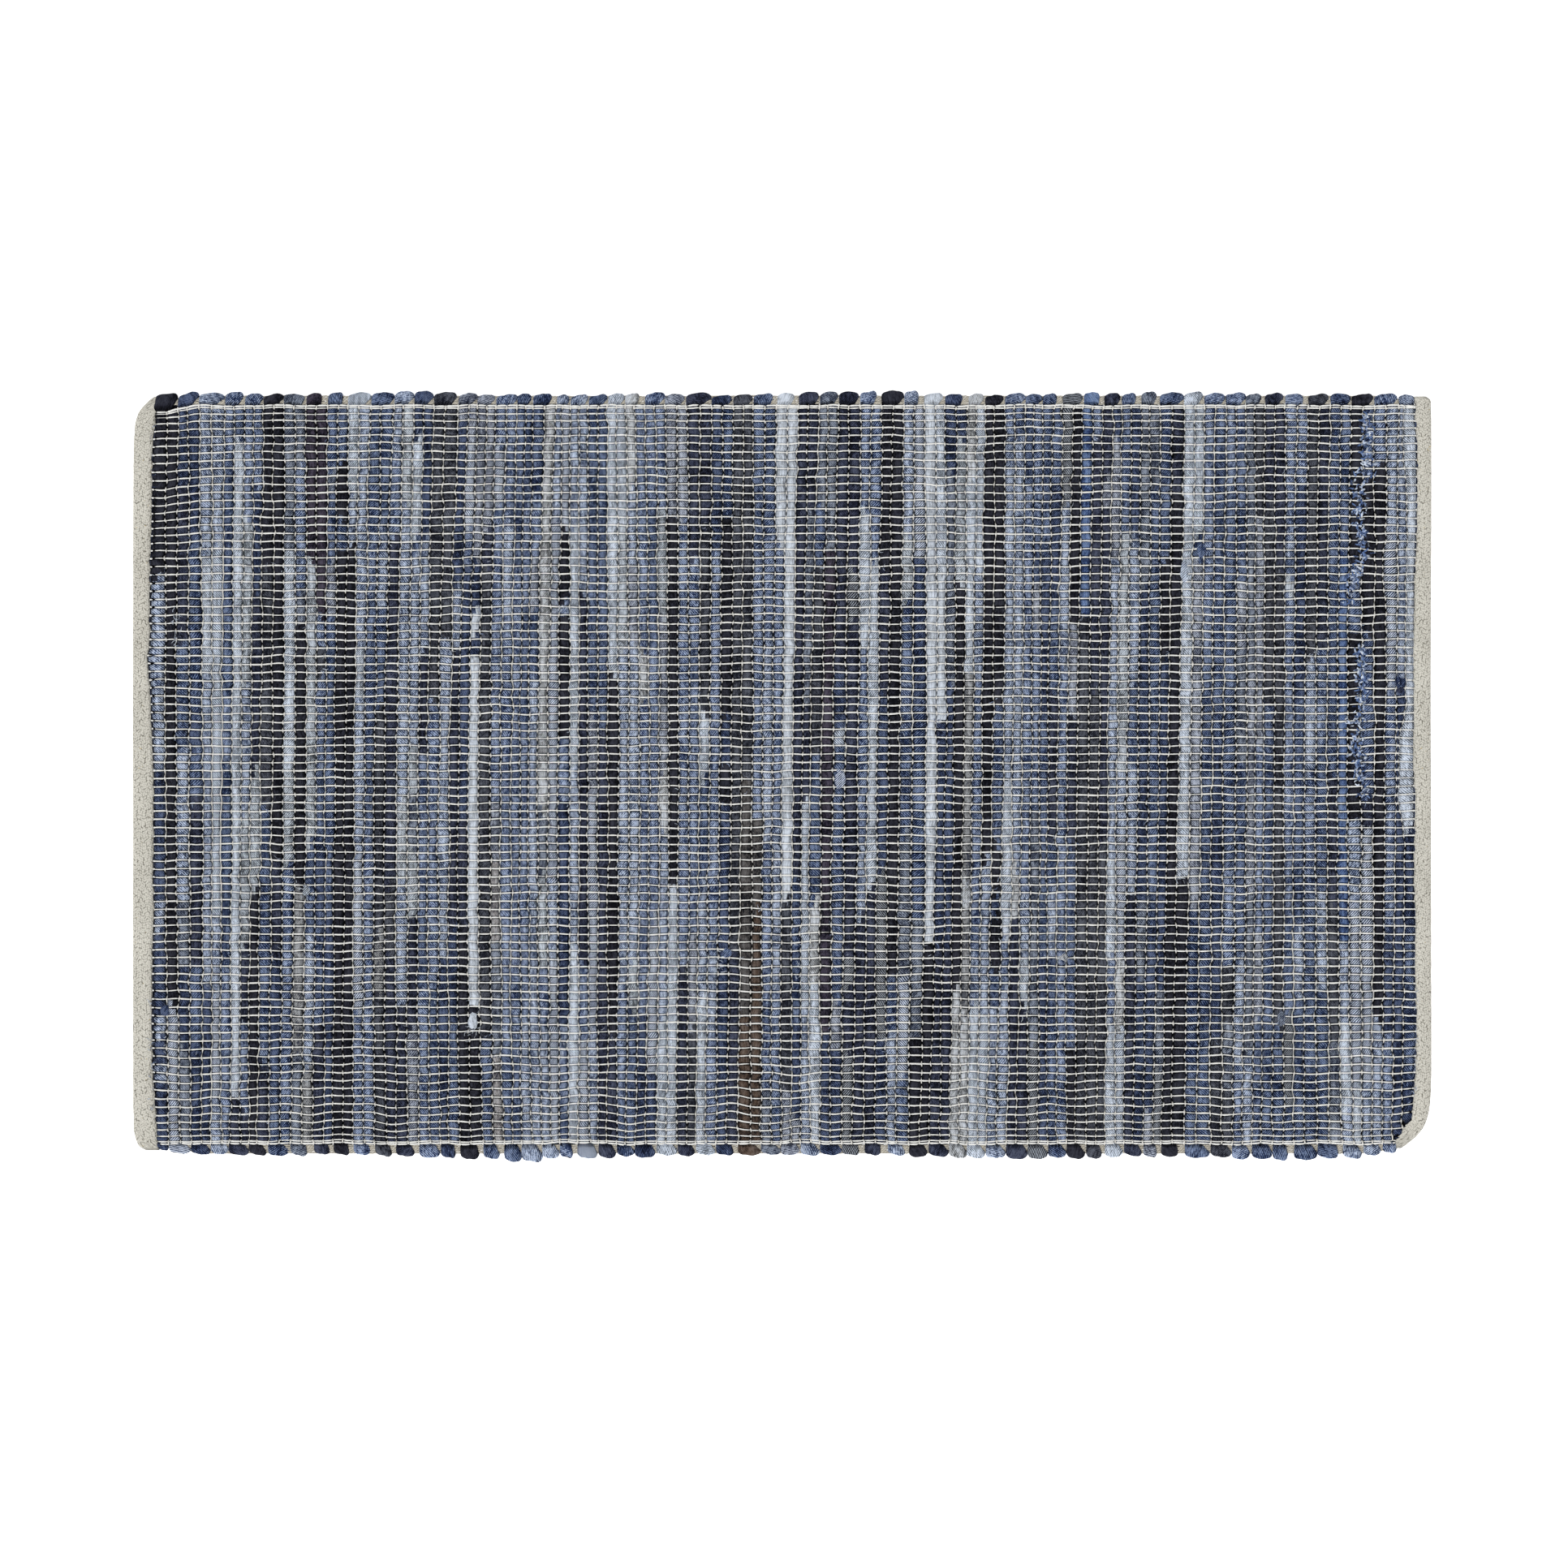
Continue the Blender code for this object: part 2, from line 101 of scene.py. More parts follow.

# The weaver's draft, two picks a row, as far as it can be read off the photograph:
# left side of the pair at FAR_PX, CENTRE_PX and NEAR_PX, then each pick's rags from the far edge down,
# with the place where a rag ends in tens of px
PAIRS = (
    ((191, 189.5, 192), "black 71 washed 95 navy 111 washed 115 navy 125 washed 128 navy 131 washed 133 navy",
     "black 124 chambray"),
    ((220, 217, 222), "navy 60 ink 79 indigo 92 washed 111 slate 119 navy 129 slate",
     "navy 66 indigo 88 navy 92 indigo 98 ink 119 indigo 129 navy"),
    ((245, 250, 248), "washed 69 sky 83 washed 121 navy",
     "washed 67 skytwill 113 washed 123 chambray 135 washed"),
    ((277, 273, 272), "denim 56 indigo 86 denim 95 indigo 118 denim", "indigo 54 sky 135 ink"),
    ((302, 297, 296), "denim 64 pale 84 washed 100 pale 117 ink 126 denim 137 ink",
     "denim 60 navy 73 ink 95 pale 110 black"),
    ((324, 321, 317), "black 70 charcoal 99 indigo 129 denim 131 ink", "black 106 ink 118 navy 131 indigo"),
    ((350, 349, 345), "slate 68 sky 95 pale 106 denim",
     "slate 57 denim 73 slate 77 black 109 taupe 130 slate"),
    ((377, 377, 372), "plum 69 pale 104 indigo 115 washed 132 taupe",
     "plum 76 denim 80 charcoal 83 denim 95 indigo 104 navy 113 indigo 126 ink"),
    ((404, 401, 399), "indigo 58 slate 61 indigo 69 grey 76 indigo 113 navy",
     "indigo 57 black 64 indigo 68 black"),
    ((430, 425, 422), "sky 61 washed 67 black", "washed 80 sky 86 washed 106 chambray 125 denim"),
    ((456, 449, 448), "indigo 65 denim 73 indigo 104 denim",
     "indigo 65 washed 75 indigo 87 charcoal 115 taupe 123 charcoal"),
    ((484, 474, 476), "washed 56 denim 66 ink 109 charcoal 118 ink",
     "pale 62 washed 98 pale 108 washed 124 ink"),
    ((510, 503, 502), "navy 54 sky 66 indigo 68 washed 92 pale 98 slate 105 pale 113 ink 127 grey",
     "navy 66 washed 80 ink 93 denim 112 indigo 122 denim"),
    ((534, 527, 530), "charcoal 86 denim 122 indigo", "charcoal 79 washed 118 navy"),
    ((564, 554, 553), "grey 52 navy 72 washed 80 ink 115 navy 126 indigo",
     "grey 56 chambray 65 denim 70 navy 101 ink 114 black"),
    ((589, 577, 580), "grey 69 navy 75 white 78 navy 81 white 124 black",
     "grey 65 ink 70 charcoal 128 indigo"),
    ((611, 604, 608), "denim 55 chambray 62 denim 99 grey 106 sand 116 slate 130 sand",
     "denim 64 washed 76 denim 128 indigo"),
    ((637, 630, 631), "indigo 70 denim 128 indigo", "indigo 62 denim 74 indigo 90 denim 126 washed"),
    ((657, 651, 655), "indigo 60 denim 69 grey 75 indigo 84 washed",
     "stone 100 slate 108 pale 119 denim 126 washed"),
    ((684, 675, 679), "washed 64 chambray 109 washed 118 chambray",
     "chambray 65 black 74 denim 76 black 91 denim 99 navy 126 washed 130 denim"),
    ((702, 702, 700), "washed 65 sky 95 washed 117 sky", "washed 73 ink 119 denim 128 chambray"),
    ((725, 724, 726), "indigo 88 grey 98 chambray 127 washed", "indigo 90 ink"),
    ((748, 749, 748), "sky 83 black 128 ink", "sky 64 pale 80 washed 122 denim 134 indigo"),
    ((771, 775, 771), "stone 60 washed 70 grey 79 washed 119 pale 125 indigo",
     "denim 80 stone 86 denim 125 navy"),
    ((795, 800, 795), "denim 62 indigo 80 denim 113 chambray 132 navy",
     "denim 63 pale 76 grey 95 stone 102 washed 126 sky"),
    ((820, 824, 821), "grey 64 black 109 sky", "grey 64 denim 119 ink"),
    ((847, 849, 846), "ink 69 denim 80 indigo 84 denim 115 grey 127 charcoal",
     "ink 65 charcoal 88 sky 96 indigo 109 washed 123 sky"),
    ((877, 874, 869), "navy 68 denim 118 washed 128 denim", "indigo 64 black 88 navy 94 black 99 navy"),
    ((903, 901, 895), "charcoal 117 ink", "charcoal 96 umber 125 brown"),
    ((928, 927, 924), "indigo 68 denim 101 umber 112 brown", "indigo 66 denim 78 washed 104 denim 134 slate"),
    ((957, 952, 950), "white 67 denim 102 washed 122 denim 136 indigo", "white 111 charcoal 134 grey"),
    ((983, 977, 975), "ink 108 indigo 126 navy 138 grey", "ink 63 slate 87 ink 99 skytwill 124 washed"),
    ((1009, 998, 998), "slate 62 indigo 70 charcoal 93 indigo 111 stone 121 sky", "slate 68 plum 127 navy"),
    ((1033, 1026, 1023), "ink 83 navy 90 skytwill 92 indigo 124 grey 129 navy",
     "ink 70 check 76 ink 118 check 122 ink 130 check"),
    ((1060, 1057, 1050), "denim 63 sky 80 denim 104 washed 113 ink", "denim 69 sky 109 ink"),
    ((1087, 1081, 1078), "black 70 ink 85 navy 107 check 128 navy", "black 120 indigo 127 washed"),
    ((1114, 1108, 1104), "washed 66 pale 74 indigo 84 denim 89 indigo 103 slate 120 chambray 133 indigo",
     "chambray 69 navy 86 indigo 113 slate 128 black"),
    ((1139, 1141, 1133), "white 116 black", "sky 70 white 89 navy 117 ink"),
    ((1165, 1165, 1157), "navy 58 slate 84 navy 117 ink", "navy 54 pale 72 black 122 stone"),
    ((1192, 1187, 1181), "stone 59 sky 83 taupe 108 stone 112 taupe 125 stone",
     "sky 70 washed 84 denim 118 washed 124 sky"),
    ((1213, 1210, 1204), "black 106 washed 125 skytwill",
     "black 87 indigo 104 black 110 indigo 113 black 120 indigo 124 washed"),
    ((1238, 1236, 1227), "denim 54 washed 96 sky 116 denim 122 washed", "indigo 54 washed 107 stone 113 ink"),
    ((1263, 1259, 1252), "indigo 60 denim 110 washed 118 sky 124 ink",
     "denim 66 indigo 72 grey 77 denim 100 slate 129 check"),
    ((1285, 1281, 1279), "indigo 68 navy 88 indigo 118 navy",
     "indigo 60 navy 74 indigo 85 ink 104 indigo 110 washed 118 indigo"),
    ((1310, 1303, 1302), "check 62 washed 82 denim", "black 77 grey 88 ink 104 indigo 129 black"),
    ((1334, 1327, 1325), "blue 76 charcoal", "denim 54 ink 85 charcoal"),
    ((1359, 1354, 1350), "ink 59 grey 63 ink 104 charcoal",
     "navy 54 grey 69 washed 106 sky 118 denim 126 sky"),
    ((1383, 1376, 1374), "indigo 66 pale 95 washed 103 chambray 118 stone 127 skytwill",
     "navy 66 washed 84 indigo 94 washed 110 ink"),
    ((1406, 1402, 1396), "slate 72 navy 111 slate 121 navy", "slate 60 indigo 114 navy 137 grey"),
    ((1429, 1428, 1420), "indigo 69 black 81 navy 122 slate 132 check", "ink 61 black"),
    ((1460, 1452, 1443), "sky 108 black", "sky 66 indigo 69 grey 112 indigo"),
    ((1484, 1480, 1474), "denim 80 indigo", "indigo 92 navy 128 charcoal"),
    ((1511, 1507, 1505), "denim 60 indigo 107 denim 119 charcoal 126 slate 134 charcoal",
     "indigo 72 grey 80 slate 94 indigo 118 washed 131 denim"),
    ((1535, 1536, 1530), "slate 83 grey 110 slate 130 washed",
     "charcoal 64 grey 92 denim 115 grey 126 indigo"),
    ((1558, 1557, 1554), "ink 62 charcoal 87 indigo", "ink 70 charcoal 127 indigo"),
    ((1584, 1582, 1581), "denim 66 washed 68 indigo 71 pale 73 denim 112 indigo 125 check 136 indigo",
     "denim 60 navy 86 indigo 115 washed 123 indigo"),
    ((1612, 1607, 1607), "charcoal 81 washed 95 denim 109 indigo",
     "ink 80 denim 92 indigo 110 washed 122 indigo"),
    ((1639, 1635, 1638), "indigo 95 ink 112 charcoal 128 slate",
     "indigo 68 blue 116 washed 126 sky 137 washed"),
    ((1665, 1660, 1667), "black 70 indigo 78 black 101 washed 112 chambray 134 sky",
     "indigo 59 black 78 indigo 98 ink 102 chambray 133 washed"),
    ((1693, 1693, 1690), "denim 57 black 126 washed", "washed 66 chambray 84 denim 115 navy 127 denim"),
    ((1723, 1720, 1715), "washed 84 navy", "sky 102 navy 114 indigo 122 navy 126 indigo 134 navy"),
)
LAST_SIDE = (1743, 1742, 1741)

# Outline of the loops along each long edge, as (across, down) in px
FAR_OUTLINE = (
    (160, 486), (250, 484), (400, 485), (500, 482), (600, 486), (700, 486), (800, 484), (900, 486),
    (1000, 484), (1100, 482), (1200, 486), (1300, 484), (1500, 484), (1600, 485), (1764, 487),
)
NEAR_OUTLINE = (
    (160, 1420), (250, 1423), (400, 1423), (500, 1424), (600, 1428), (630, 1432), (700, 1427),
    (800, 1425), (900, 1423), (1000, 1422), (1100, 1424), (1200, 1426), (1300, 1427), (1400, 1425),
    (1500, 1425), (1570, 1430), (1600, 1430), (1680, 1426), (1705, 1423), (1720, 1417), (1764, 1412),
)

# Each tape, as (down, outer edge, inner edge) in px
LEFT_TAPE = (
    (489.0, 190.0, 193.5), (492.0, 184.5, 193.2), (496.0, 180.5, 193.0), (500.0, 176.2, 192.8),
    (508.0, 170.4, 192.6), (516.0, 167.4, 192.2), (524.0, 165.6, 191.6), (540.0, 164.6, 188.4),
    (560.0, 164.0, 187.6), (640.0, 163.6, 186.8), (700.0, 163.5, 184.6), (790.0, 163.4, 184.4),
    (810.0, 163.2, 180.8), (840.0, 163.2, 184.4), (900.0, 163.2, 187.0), (960.0, 163.4, 189.4),
    (1040.0, 163.6, 189.4), (1080.0, 163.4, 188.0), (1120.0, 163.3, 190.0), (1160.0, 163.4, 188.0),
    (1240.0, 163.4, 187.0), (1320.0, 163.5, 188.2), (1360.0, 163.6, 191.2), (1392.0, 164.2, 193.6),
    (1402.0, 166.2, 194.4), (1409.0, 168.8, 195.0), (1414.0, 172.5, 195.5), (1417.0, 179.0, 195.8),
)
RIGHT_TAPE = (
    (488.8, 1758.0, 1743.0), (490.5, 1761.5, 1743.4), (494.0, 1763.4, 1743.6), (520.0, 1763.9, 1744.2),
    (560.0, 1764.0, 1746.6), (590.0, 1764.0, 1746.2), (660.0, 1763.9, 1745.6), (720.0, 1763.6, 1742.6),
    (820.0, 1763.2, 1740.4), (880.0, 1763.2, 1742.2), (940.0, 1763.4, 1740.8), (980.0, 1763.6, 1743.6),
    (1080.0, 1763.6, 1742.0), (1130.0, 1763.8, 1744.0), (1200.0, 1763.8, 1743.2), (1250.0, 1764.0, 1745.6),
    (1320.0, 1764.0, 1744.0), (1342.0, 1763.6, 1742.4), (1360.0, 1762.4, 1741.2), (1370.0, 1761.0, 1737.8),
    (1380.0, 1758.4, 1733.6), (1390.0, 1754.0, 1727.6), (1400.0, 1746.2, 1721.4), (1406.0, 1739.0, 1719.2),
    (1411.0, 1732.6, 1719.4), (1414.5, 1727.0, 1720.4),
)
TAPE_LEAF = 1.1
TAPE_TOP = 5.2

# Valleys in which the thin pick stays in sight, as (number of the valley, from, to) in px
OPEN_VALLEYS = (
    (1, 820, 1260), (6, 690, 1100), (20, 540, 760), (73, 600, 900), (99, 700, 1000), (111, 1100, 1380),
)

# Knots where one rag is tied to the next, as (across, down, half width, half length in px, cloth)
KNOTS = (
    (203, 1245, 7, 7, "navy"), (1035, 960, 7, 13, "chambray"), (1190, 1102, 6, 12, "stone"),
    (1310, 1180, 7, 6, "stone"), (1480, 678, 6, 10, "indigo"), (1459, 704, 5, 15, "skytwill"),
    (1578, 1255, 6, 11, "slate"), (1725, 840, 7, 8, "navy"), (378, 1097, 6, 7, "pale"),
    (583, 1258, 6, 12, "white"), (1725, 852, 5, 6, "ink"), (896, 1174, 6, 6, "indigo"),
)

# Loose ends of thread, as (across, down, half width, half length in px, how many, cloth)
FRAYS = (
    (255, 676, 5, 6, 10, "sky"), (218, 772, 5, 18, 22, "sky"), (692, 752, 8, 8, 14, "sky"),
    (1735, 680, 6, 22, 22, "sky"), (583, 1272, 6, 9, 16, "white"), (1190, 1100, 5, 14, 12, "sky"),
    (378, 1098, 8, 8, 10, "white"), (885, 1175, 3, 40, 20, "sky"), (985, 1190, 4, 30, 16, "sky"),
    (187, 580, 2, 60, 5, "indigo"), (187, 1300, 2, 70, 20, "washed"), (1742, 1290, 4, 70, 26, "washed"),
    (1145, 700, 5, 60, 18, "white"),
)
STRAY_THREADS = 600
# The cloth whose colour the threads torn from another have
PALER = {
    "indigo": "washed", "denim": "sky", "washed": "white",
    "navy": "denim", "sky": "white", "chambray": "white",
}

# The two frayed blue strips that lie over the black picks, as (down, across, half width) in px
RUFFLES = (
    (
        (512, 1682, 3), (545, 1683, 5), (570, 1683, 5), (590, 1678, 11), (615, 1675, 8),
        (640, 1673, 5), (668, 1678, 5), (688, 1680, 6), (705, 1671, 6), (742, 1661, 3),
    ),
    (
        (796, 1675, 3), (830, 1678, 5), (865, 1677, 4), (885, 1672, 9), (905, 1669, 11),
        (930, 1672, 7), (955, 1675, 5), (982, 1682, 3),
    ),
)
RUFFLE_CURLS = 240
RUFFLE_CLOTHS = ("blue", "washed", "denim", "blue", "sky")

# Where one rag spreads over its neighbour, as (number of the valley, down, half length, shift in px)
SPREADS = ((121, 950, 90, -9.0), (121, 540, 60, -4.0), (119, 700, 40, -3.0))

# Where the rows of warp sink towards the far left corner, as (px, (from, to) across, (from, to) down)
CORNER_DROPS = ((5.8, (188, 256), (600, 700)), (3.2, (204, 222), (500, 513)))

# Undyed cotton, towards which a worn cloth pales
UNDYED = (219, 227, 240)
# What the deep tone of a dark cloth keeps of red, green and blue
DEEP_TINT = (0.85, 0.93, 1.18)


def srgb(levels):
    """A colour in linear light from its 0 to 255 levels."""
    share = np.array(levels, float) / 255.0
    linear = np.where(share <= 0.04045, share / 12.92, ((share + 0.055) / 1.055) ** 2.4)
    return (*linear.tolist(), 1.0)


def smooth(value, low, high):
    share = np.clip((np.asarray(value, float) - low) / (high - low), 0.0, 1.0)
    return share * share * (3.0 - 2.0 * share)


def in_metres(points):
    """Points of (px across, px down, mm up) in the row's frame."""
    points = np.asarray(points, float)
    across = (points[..., 0] - MIDDLE_ACROSS) * PIXEL
    up = (MIDDLE_DOWN - points[..., 1]) * PIXEL
    return np.stack([across, up, points[..., 2]], axis=-1) * 0.001


class Wander:
    """A smooth seeded wander over the rug, between about -reach and reach."""

    def __init__(self, seed, reach, longest_across, longest_down, waves=9):
        draw = np.random.default_rng(seed)
        share = draw.uniform(0.25, 1.0, (2, waves))
        self.across = 2 * math.pi / (longest_across * share[0]) * draw.choice([-1, 1], waves)
        self.down = 2 * math.pi / (longest_down * share[1])
        self.phase = draw.uniform(0, 2 * math.pi, waves)
        self.reach = reach * share.mean(axis=0) / math.sqrt(waves / 2)

    def at(self, across, down):
        across, down = np.broadcast_arrays(np.asarray(across, float), np.asarray(down, float))
        angle = across[..., None] * self.across + down[..., None] * self.down + self.phase
        return (np.sin(angle) * self.reach).sum(axis=-1)


# Places of the weave

ROW_WANDER = Wander(3, 1.2, 420, 520)
ROW_SWAY = Wander(4, 0.5, 90, 160)
NEAR_WAVES = Wander(5, 1.5, 170, 300)
SIDE_WANDER = Wander(6, 0.9, 40, 260)
SIDE_JITTER = Wander(7, 0.9, 15, 44, waves=12)


def row_places():
    even = np.linspace(FAR_ROWS[-1], NEAR_ROWS[0], EVEN_ROWS + 2)[1:-1]
    return np.concatenate([FAR_ROWS, even, NEAR_ROWS])


ROWS = row_places()


def valley_sides():
    """Places of the sides between neighbouring picks at FAR_PX, CENTRE_PX and NEAR_PX."""
    draw = np.random.default_rng(11)
    pair_sides = np.array([pair[0] for pair in PAIRS] + [LAST_SIDE], float)
    middles = (pair_sides[:-1] + pair_sides[1:]) / 2 + draw.normal(0, 0.5, (len(PAIRS), 3))
    sides = np.empty((PICKS + 1, 3))
    sides[0::2] = pair_sides
    sides[1::2] = middles
    return sides


SIDES = valley_sides()


def valley(number, down):
    """Where a valley between two picks lies at a place down the rug."""
    number, down = np.broadcast_arrays(np.asarray(number), np.asarray(down, float))
    bend = np.array([FAR_PX, CENTRE_PX, NEAR_PX])
    held = np.clip(down, 490, 1420)
    weights = []
    for own in range(3):
        others = [other for other in range(3) if other != own]
        weight = (held - bend[others[0]]) * (held - bend[others[1]])
        weights.append(weight / ((bend[own] - bend[others[0]]) * (bend[own] - bend[others[1]])))
    place = sum(weight * SIDES[number, own] for own, weight in enumerate(weights))
    for spread, centre, length, shift in SPREADS:
        share = np.clip(1 - np.abs((down - centre) / length), 0, 1)
        place = place + np.where(number == spread, shift * smooth(share, 0.0, 0.7), 0.0)
    inside = ((number > 0) & (number < PICKS)).astype(float)
    return place + inside * (SIDE_WANDER.at(number * 13.0, down) + SIDE_JITTER.at(number * 13.0, down))


def row_down(across, down):
    """A row's true place down the photograph, after its wander."""
    near = smooth(down, 1270, 1370) * (1 - 0.7 * smooth(down, 1385, 1410))
    held = 1 - 0.6 * smooth(np.abs(down - CENTRE_PX), 400, 450)
    wander = ROW_WANDER.at(across, down) * held + ROW_SWAY.at(across, down)
    lift = sum(
        drop * (1 - smooth(across, *span_across)) * (1 - smooth(down, *span_down))
        for drop, span_across, span_down in CORNER_DROPS
    )
    return down + wander + near * NEAR_WAVES.at(across, down) + lift


def tape_inner(table, down):
    table = np.array(table)
    return np.interp(down, table[:, 0], table[:, 2])


def rags_of(words):
    """The rags of a pick from its line in the draft, as (cloth, px at which it ends)."""
    words = words.split()
    ends = [10.0 * float(word) for word in words[1::2]] + [float(PHOTO_SIZE)]
    return list(zip(words[0::2], ends))


DRAFT = [rags_of(words) for pair in PAIRS for words in pair[1:]]


def cloth_at(pick, down):
    """Name of the cloth of a pick at a place down the rug."""
    for cloth, end in DRAFT[pick]:
        if down < end:
            return cloth
    return DRAFT[pick][-1][0]


# Materials


class Recipe:
    """A material and short ways to add nodes to it."""

    def __init__(self, name, roughness):
        self.material = bpy.data.materials.new(name)
        self.material.use_nodes = True
        self.tree = self.material.node_tree
        self.shader = self.tree.nodes["Principled BSDF"]
        self.shader.inputs["Roughness"].default_value = roughness
        self.shader.inputs["Specular IOR Level"].default_value = 0.25

    def node(self, kind, inputs=None, **settings):
        made = self.tree.nodes.new(kind)
        for name, value in settings.items():
            setattr(made, name, value)
        for name, value in (inputs or {}).items():
            if isinstance(value, bpy.types.NodeSocket):
                self.tree.links.new(value, made.inputs[name])
            else:
                made.inputs[name].default_value = value
        return made

    def maths(self, operation, first, second=0.0, clamp=False):
        made = self.node("ShaderNodeMath", {0: first, 1: second}, operation=operation, use_clamp=clamp)
        return made.outputs[0]

    def times(self, first, second, clamp=False):
        return self.maths("MULTIPLY", first, second, clamp)

    def added(self, *parts, clamp=False):
        """The sum of the parts, held between 0 and 1 if clamp is true."""
        so_far = parts[0]
        for part in parts[1:-1]:
            so_far = self.maths("ADD", so_far, part)
        return self.maths("ADD", so_far, parts[-1], clamp)

    def attribute(self, name):
        return self.node("ShaderNodeAttribute", attribute_name=name).outputs["Vector"]

    def stretched(self, vector, scale):
        made = self.node("ShaderNodeVectorMath", {0: vector, 1: scale}, operation="MULTIPLY")
        return made.outputs[0]

    def noise(self, vector, stretch, scale=1.0, detail=2.0, roughness=0.55):
        placed = self.stretched(vector, stretch)
        inputs = {"Vector": placed, "Scale": scale, "Detail": detail, "Roughness": roughness}
        return self.node("ShaderNodeTexNoise", inputs).outputs["Fac"]

    def lines(self, vector, pitch, distortion=0.0):
        """Fine slanting lines of a pitch in the vector's unit."""
        inputs = {"Vector": vector, "Scale": 0.444 / pitch, "Distortion": distortion}
        inputs |= {"Detail": 2.0, "Detail Scale": 1.2}
        made = self.node("ShaderNodeTexWave", inputs, wave_type="BANDS", bands_direction="DIAGONAL")
        return made.outputs["Fac"]

    def ramp(self, value, stops):
        made = self.node("ShaderNodeValToRGB", {0: value})
        elements = made.color_ramp.elements
        elements[0].position, elements[0].color = stops[0]
        elements[1].position, elements[1].color = stops[-1]
        for place, colour in stops[1:-1]:
            elements.new(place).color = colour
        return made.outputs["Color"]

    def about(self, value, strength):
        """The value's distance from one half, times a strength."""
        return self.times(self.maths("SUBTRACT", value, 0.5), strength)

    def scaled(self, colour, value):
        made = self.node("ShaderNodeVectorMath", {0: colour, "Scale": value}, operation="SCALE")
        return made.outputs[0]

    def mixed(self, share, first, second):
        made = self.node("ShaderNodeMix", data_type="RGBA")
        self.tree.links.new(share, made.inputs["Factor"])
        for name, value in ((6, first), (7, second)):
            if isinstance(value, bpy.types.NodeSocket):
                self.tree.links.new(value, made.inputs[name])
            else:
                made.inputs[name].default_value = value
        return made.outputs[2]

    def finish(self, colour, height, depth_mm):
        self.tree.links.new(colour, self.shader.inputs["Base Color"])
        bump = self.node("ShaderNodeBump", {"Height": height, "Distance": depth_mm * 0.001})
        self.tree.links.new(bump.outputs["Normal"], self.shader.inputs["Normal"])
        return self.material


# No stretch of a pattern
EVEN = (1.0, 1.0, 1.0)


def faded(body, share):
    """A cloth's colour, a share of the way to undyed cotton."""
    return [level + (top - level) * share for level, top in zip(body, UNDYED)]


def tones(body, deep_share, pale_share):
    """Deep, body and pale tones of a cloth, for a ramp."""
    dyed = 1.0 - float(smooth(sum(body) / 3, 115, 190))
    deep = [level * deep_share * (1.0 + dyed * (tint - 1.0)) for level, tint in zip(body, DEEP_TINT)]
    return ((0.0, srgb(deep)), (0.5, srgb(body)), (1.0, srgb(faded(body, pale_share))))


def cloth_material(name, body, deep_share, pale_share, pitch, lines, flecks, streaks):
    """Worn cotton cloth torn into strips: twill lines, flecks, creases along the strip and frayed sides."""
    recipe = Recipe("cloth_" + name, 0.92)
    recipe.shader.inputs["Specular IOR Level"].default_value = 0.06
    weave = recipe.attribute("weave")
    parts = recipe.node("ShaderNodeSeparateXYZ", {0: recipe.attribute("rag")}).outputs
    side, near_warp, fray = parts[0], parts[1], parts[2]

    # Patterns: across the strip, along it, and a large third share that sets each rag apart
    twill = recipe.lines(weave, pitch, 1.8)
    fleck = recipe.noise(weave, (1.0, 0.8, 31.0), 1.25, 4.0, 0.7)
    streak = recipe.noise(weave, (1.0, 0.09, 17.0), 1.1, 3.0, 0.6)
    fading = recipe.noise(weave, (0.10, 0.05, 23.0), 1.0, 1.0)
    blotch = recipe.noise(weave, (0.55, 0.38, 13.0), 1.0, 2.0, 0.6)
    crease = recipe.about(recipe.noise(weave, (0.42, 0.045, 29.0), 1.0, 1.5), 1.0)
    crease = recipe.maths("ABSOLUTE", crease)

    tone = recipe.added(
        recipe.about(twill, 2.6 * lines),
        recipe.about(fleck, 3.2 * flecks),
        recipe.about(streak, 2.3 * streaks),
        recipe.about(fading, 2.2),
        recipe.about(blotch, 1.4 + 1.7 * flecks),
        0.5,
        clamp=True,
    )
    colour = recipe.ramp(tone, tones(body, deep_share, pale_share))

    # Undyed threads at the torn sides
    torn = recipe.times(recipe.maths("POWER", side, 2.6), fray)
    torn = recipe.times(torn, recipe.about(fleck, 12.0), clamp=True)
    torn = recipe.times(torn, min(1.0, 2.2 * pale_share))
    colour = recipe.mixed(torn, colour, srgb(faded(body, 0.75)))

    # Shade at the sides, under the warps and in the creases, less on a pale cloth, which scatters the light
    shadow = 1.0 - 0.5 * float(smooth(sum(body) / 3, 135, 215))
    hollow = recipe.times(recipe.maths("POWER", side, 2.8), -0.94 * shadow)
    under_warp = recipe.times(recipe.maths("POWER", near_warp, 0.42), -0.96 * shadow)
    fold = recipe.times(recipe.maths("SUBTRACT", 0.045, crease), -9.0)
    fold = recipe.maths("MINIMUM", fold, 0.0)
    colour = recipe.scaled(colour, recipe.added(hollow, under_warp, 1.0, fold, clamp=True))

    height = recipe.added(
        recipe.times(streak, 0.5),
        recipe.times(fleck, 0.16),
        recipe.times(twill, 0.08),
        recipe.times(crease, 2.2),
    )
    return recipe.finish(colour, height, 1.3)


def thread_material(name, deep, pale, pitch):
    """Two-ply cotton thread with its twist."""
    recipe = Recipe(name, 0.88)
    weave = recipe.attribute("weave")
    twist = recipe.lines(weave, pitch)
    fuzz = recipe.noise(weave, EVEN, 2.3, 3.0)
    tone = recipe.added(recipe.about(twist, 0.45), recipe.about(fuzz, 0.9), 0.5, clamp=True)
    colour = recipe.ramp(tone, ((0.0, srgb(deep)), (1.0, srgb(pale))))
    return recipe.finish(colour, recipe.added(twist, recipe.times(fuzz, 0.6)), 0.22)


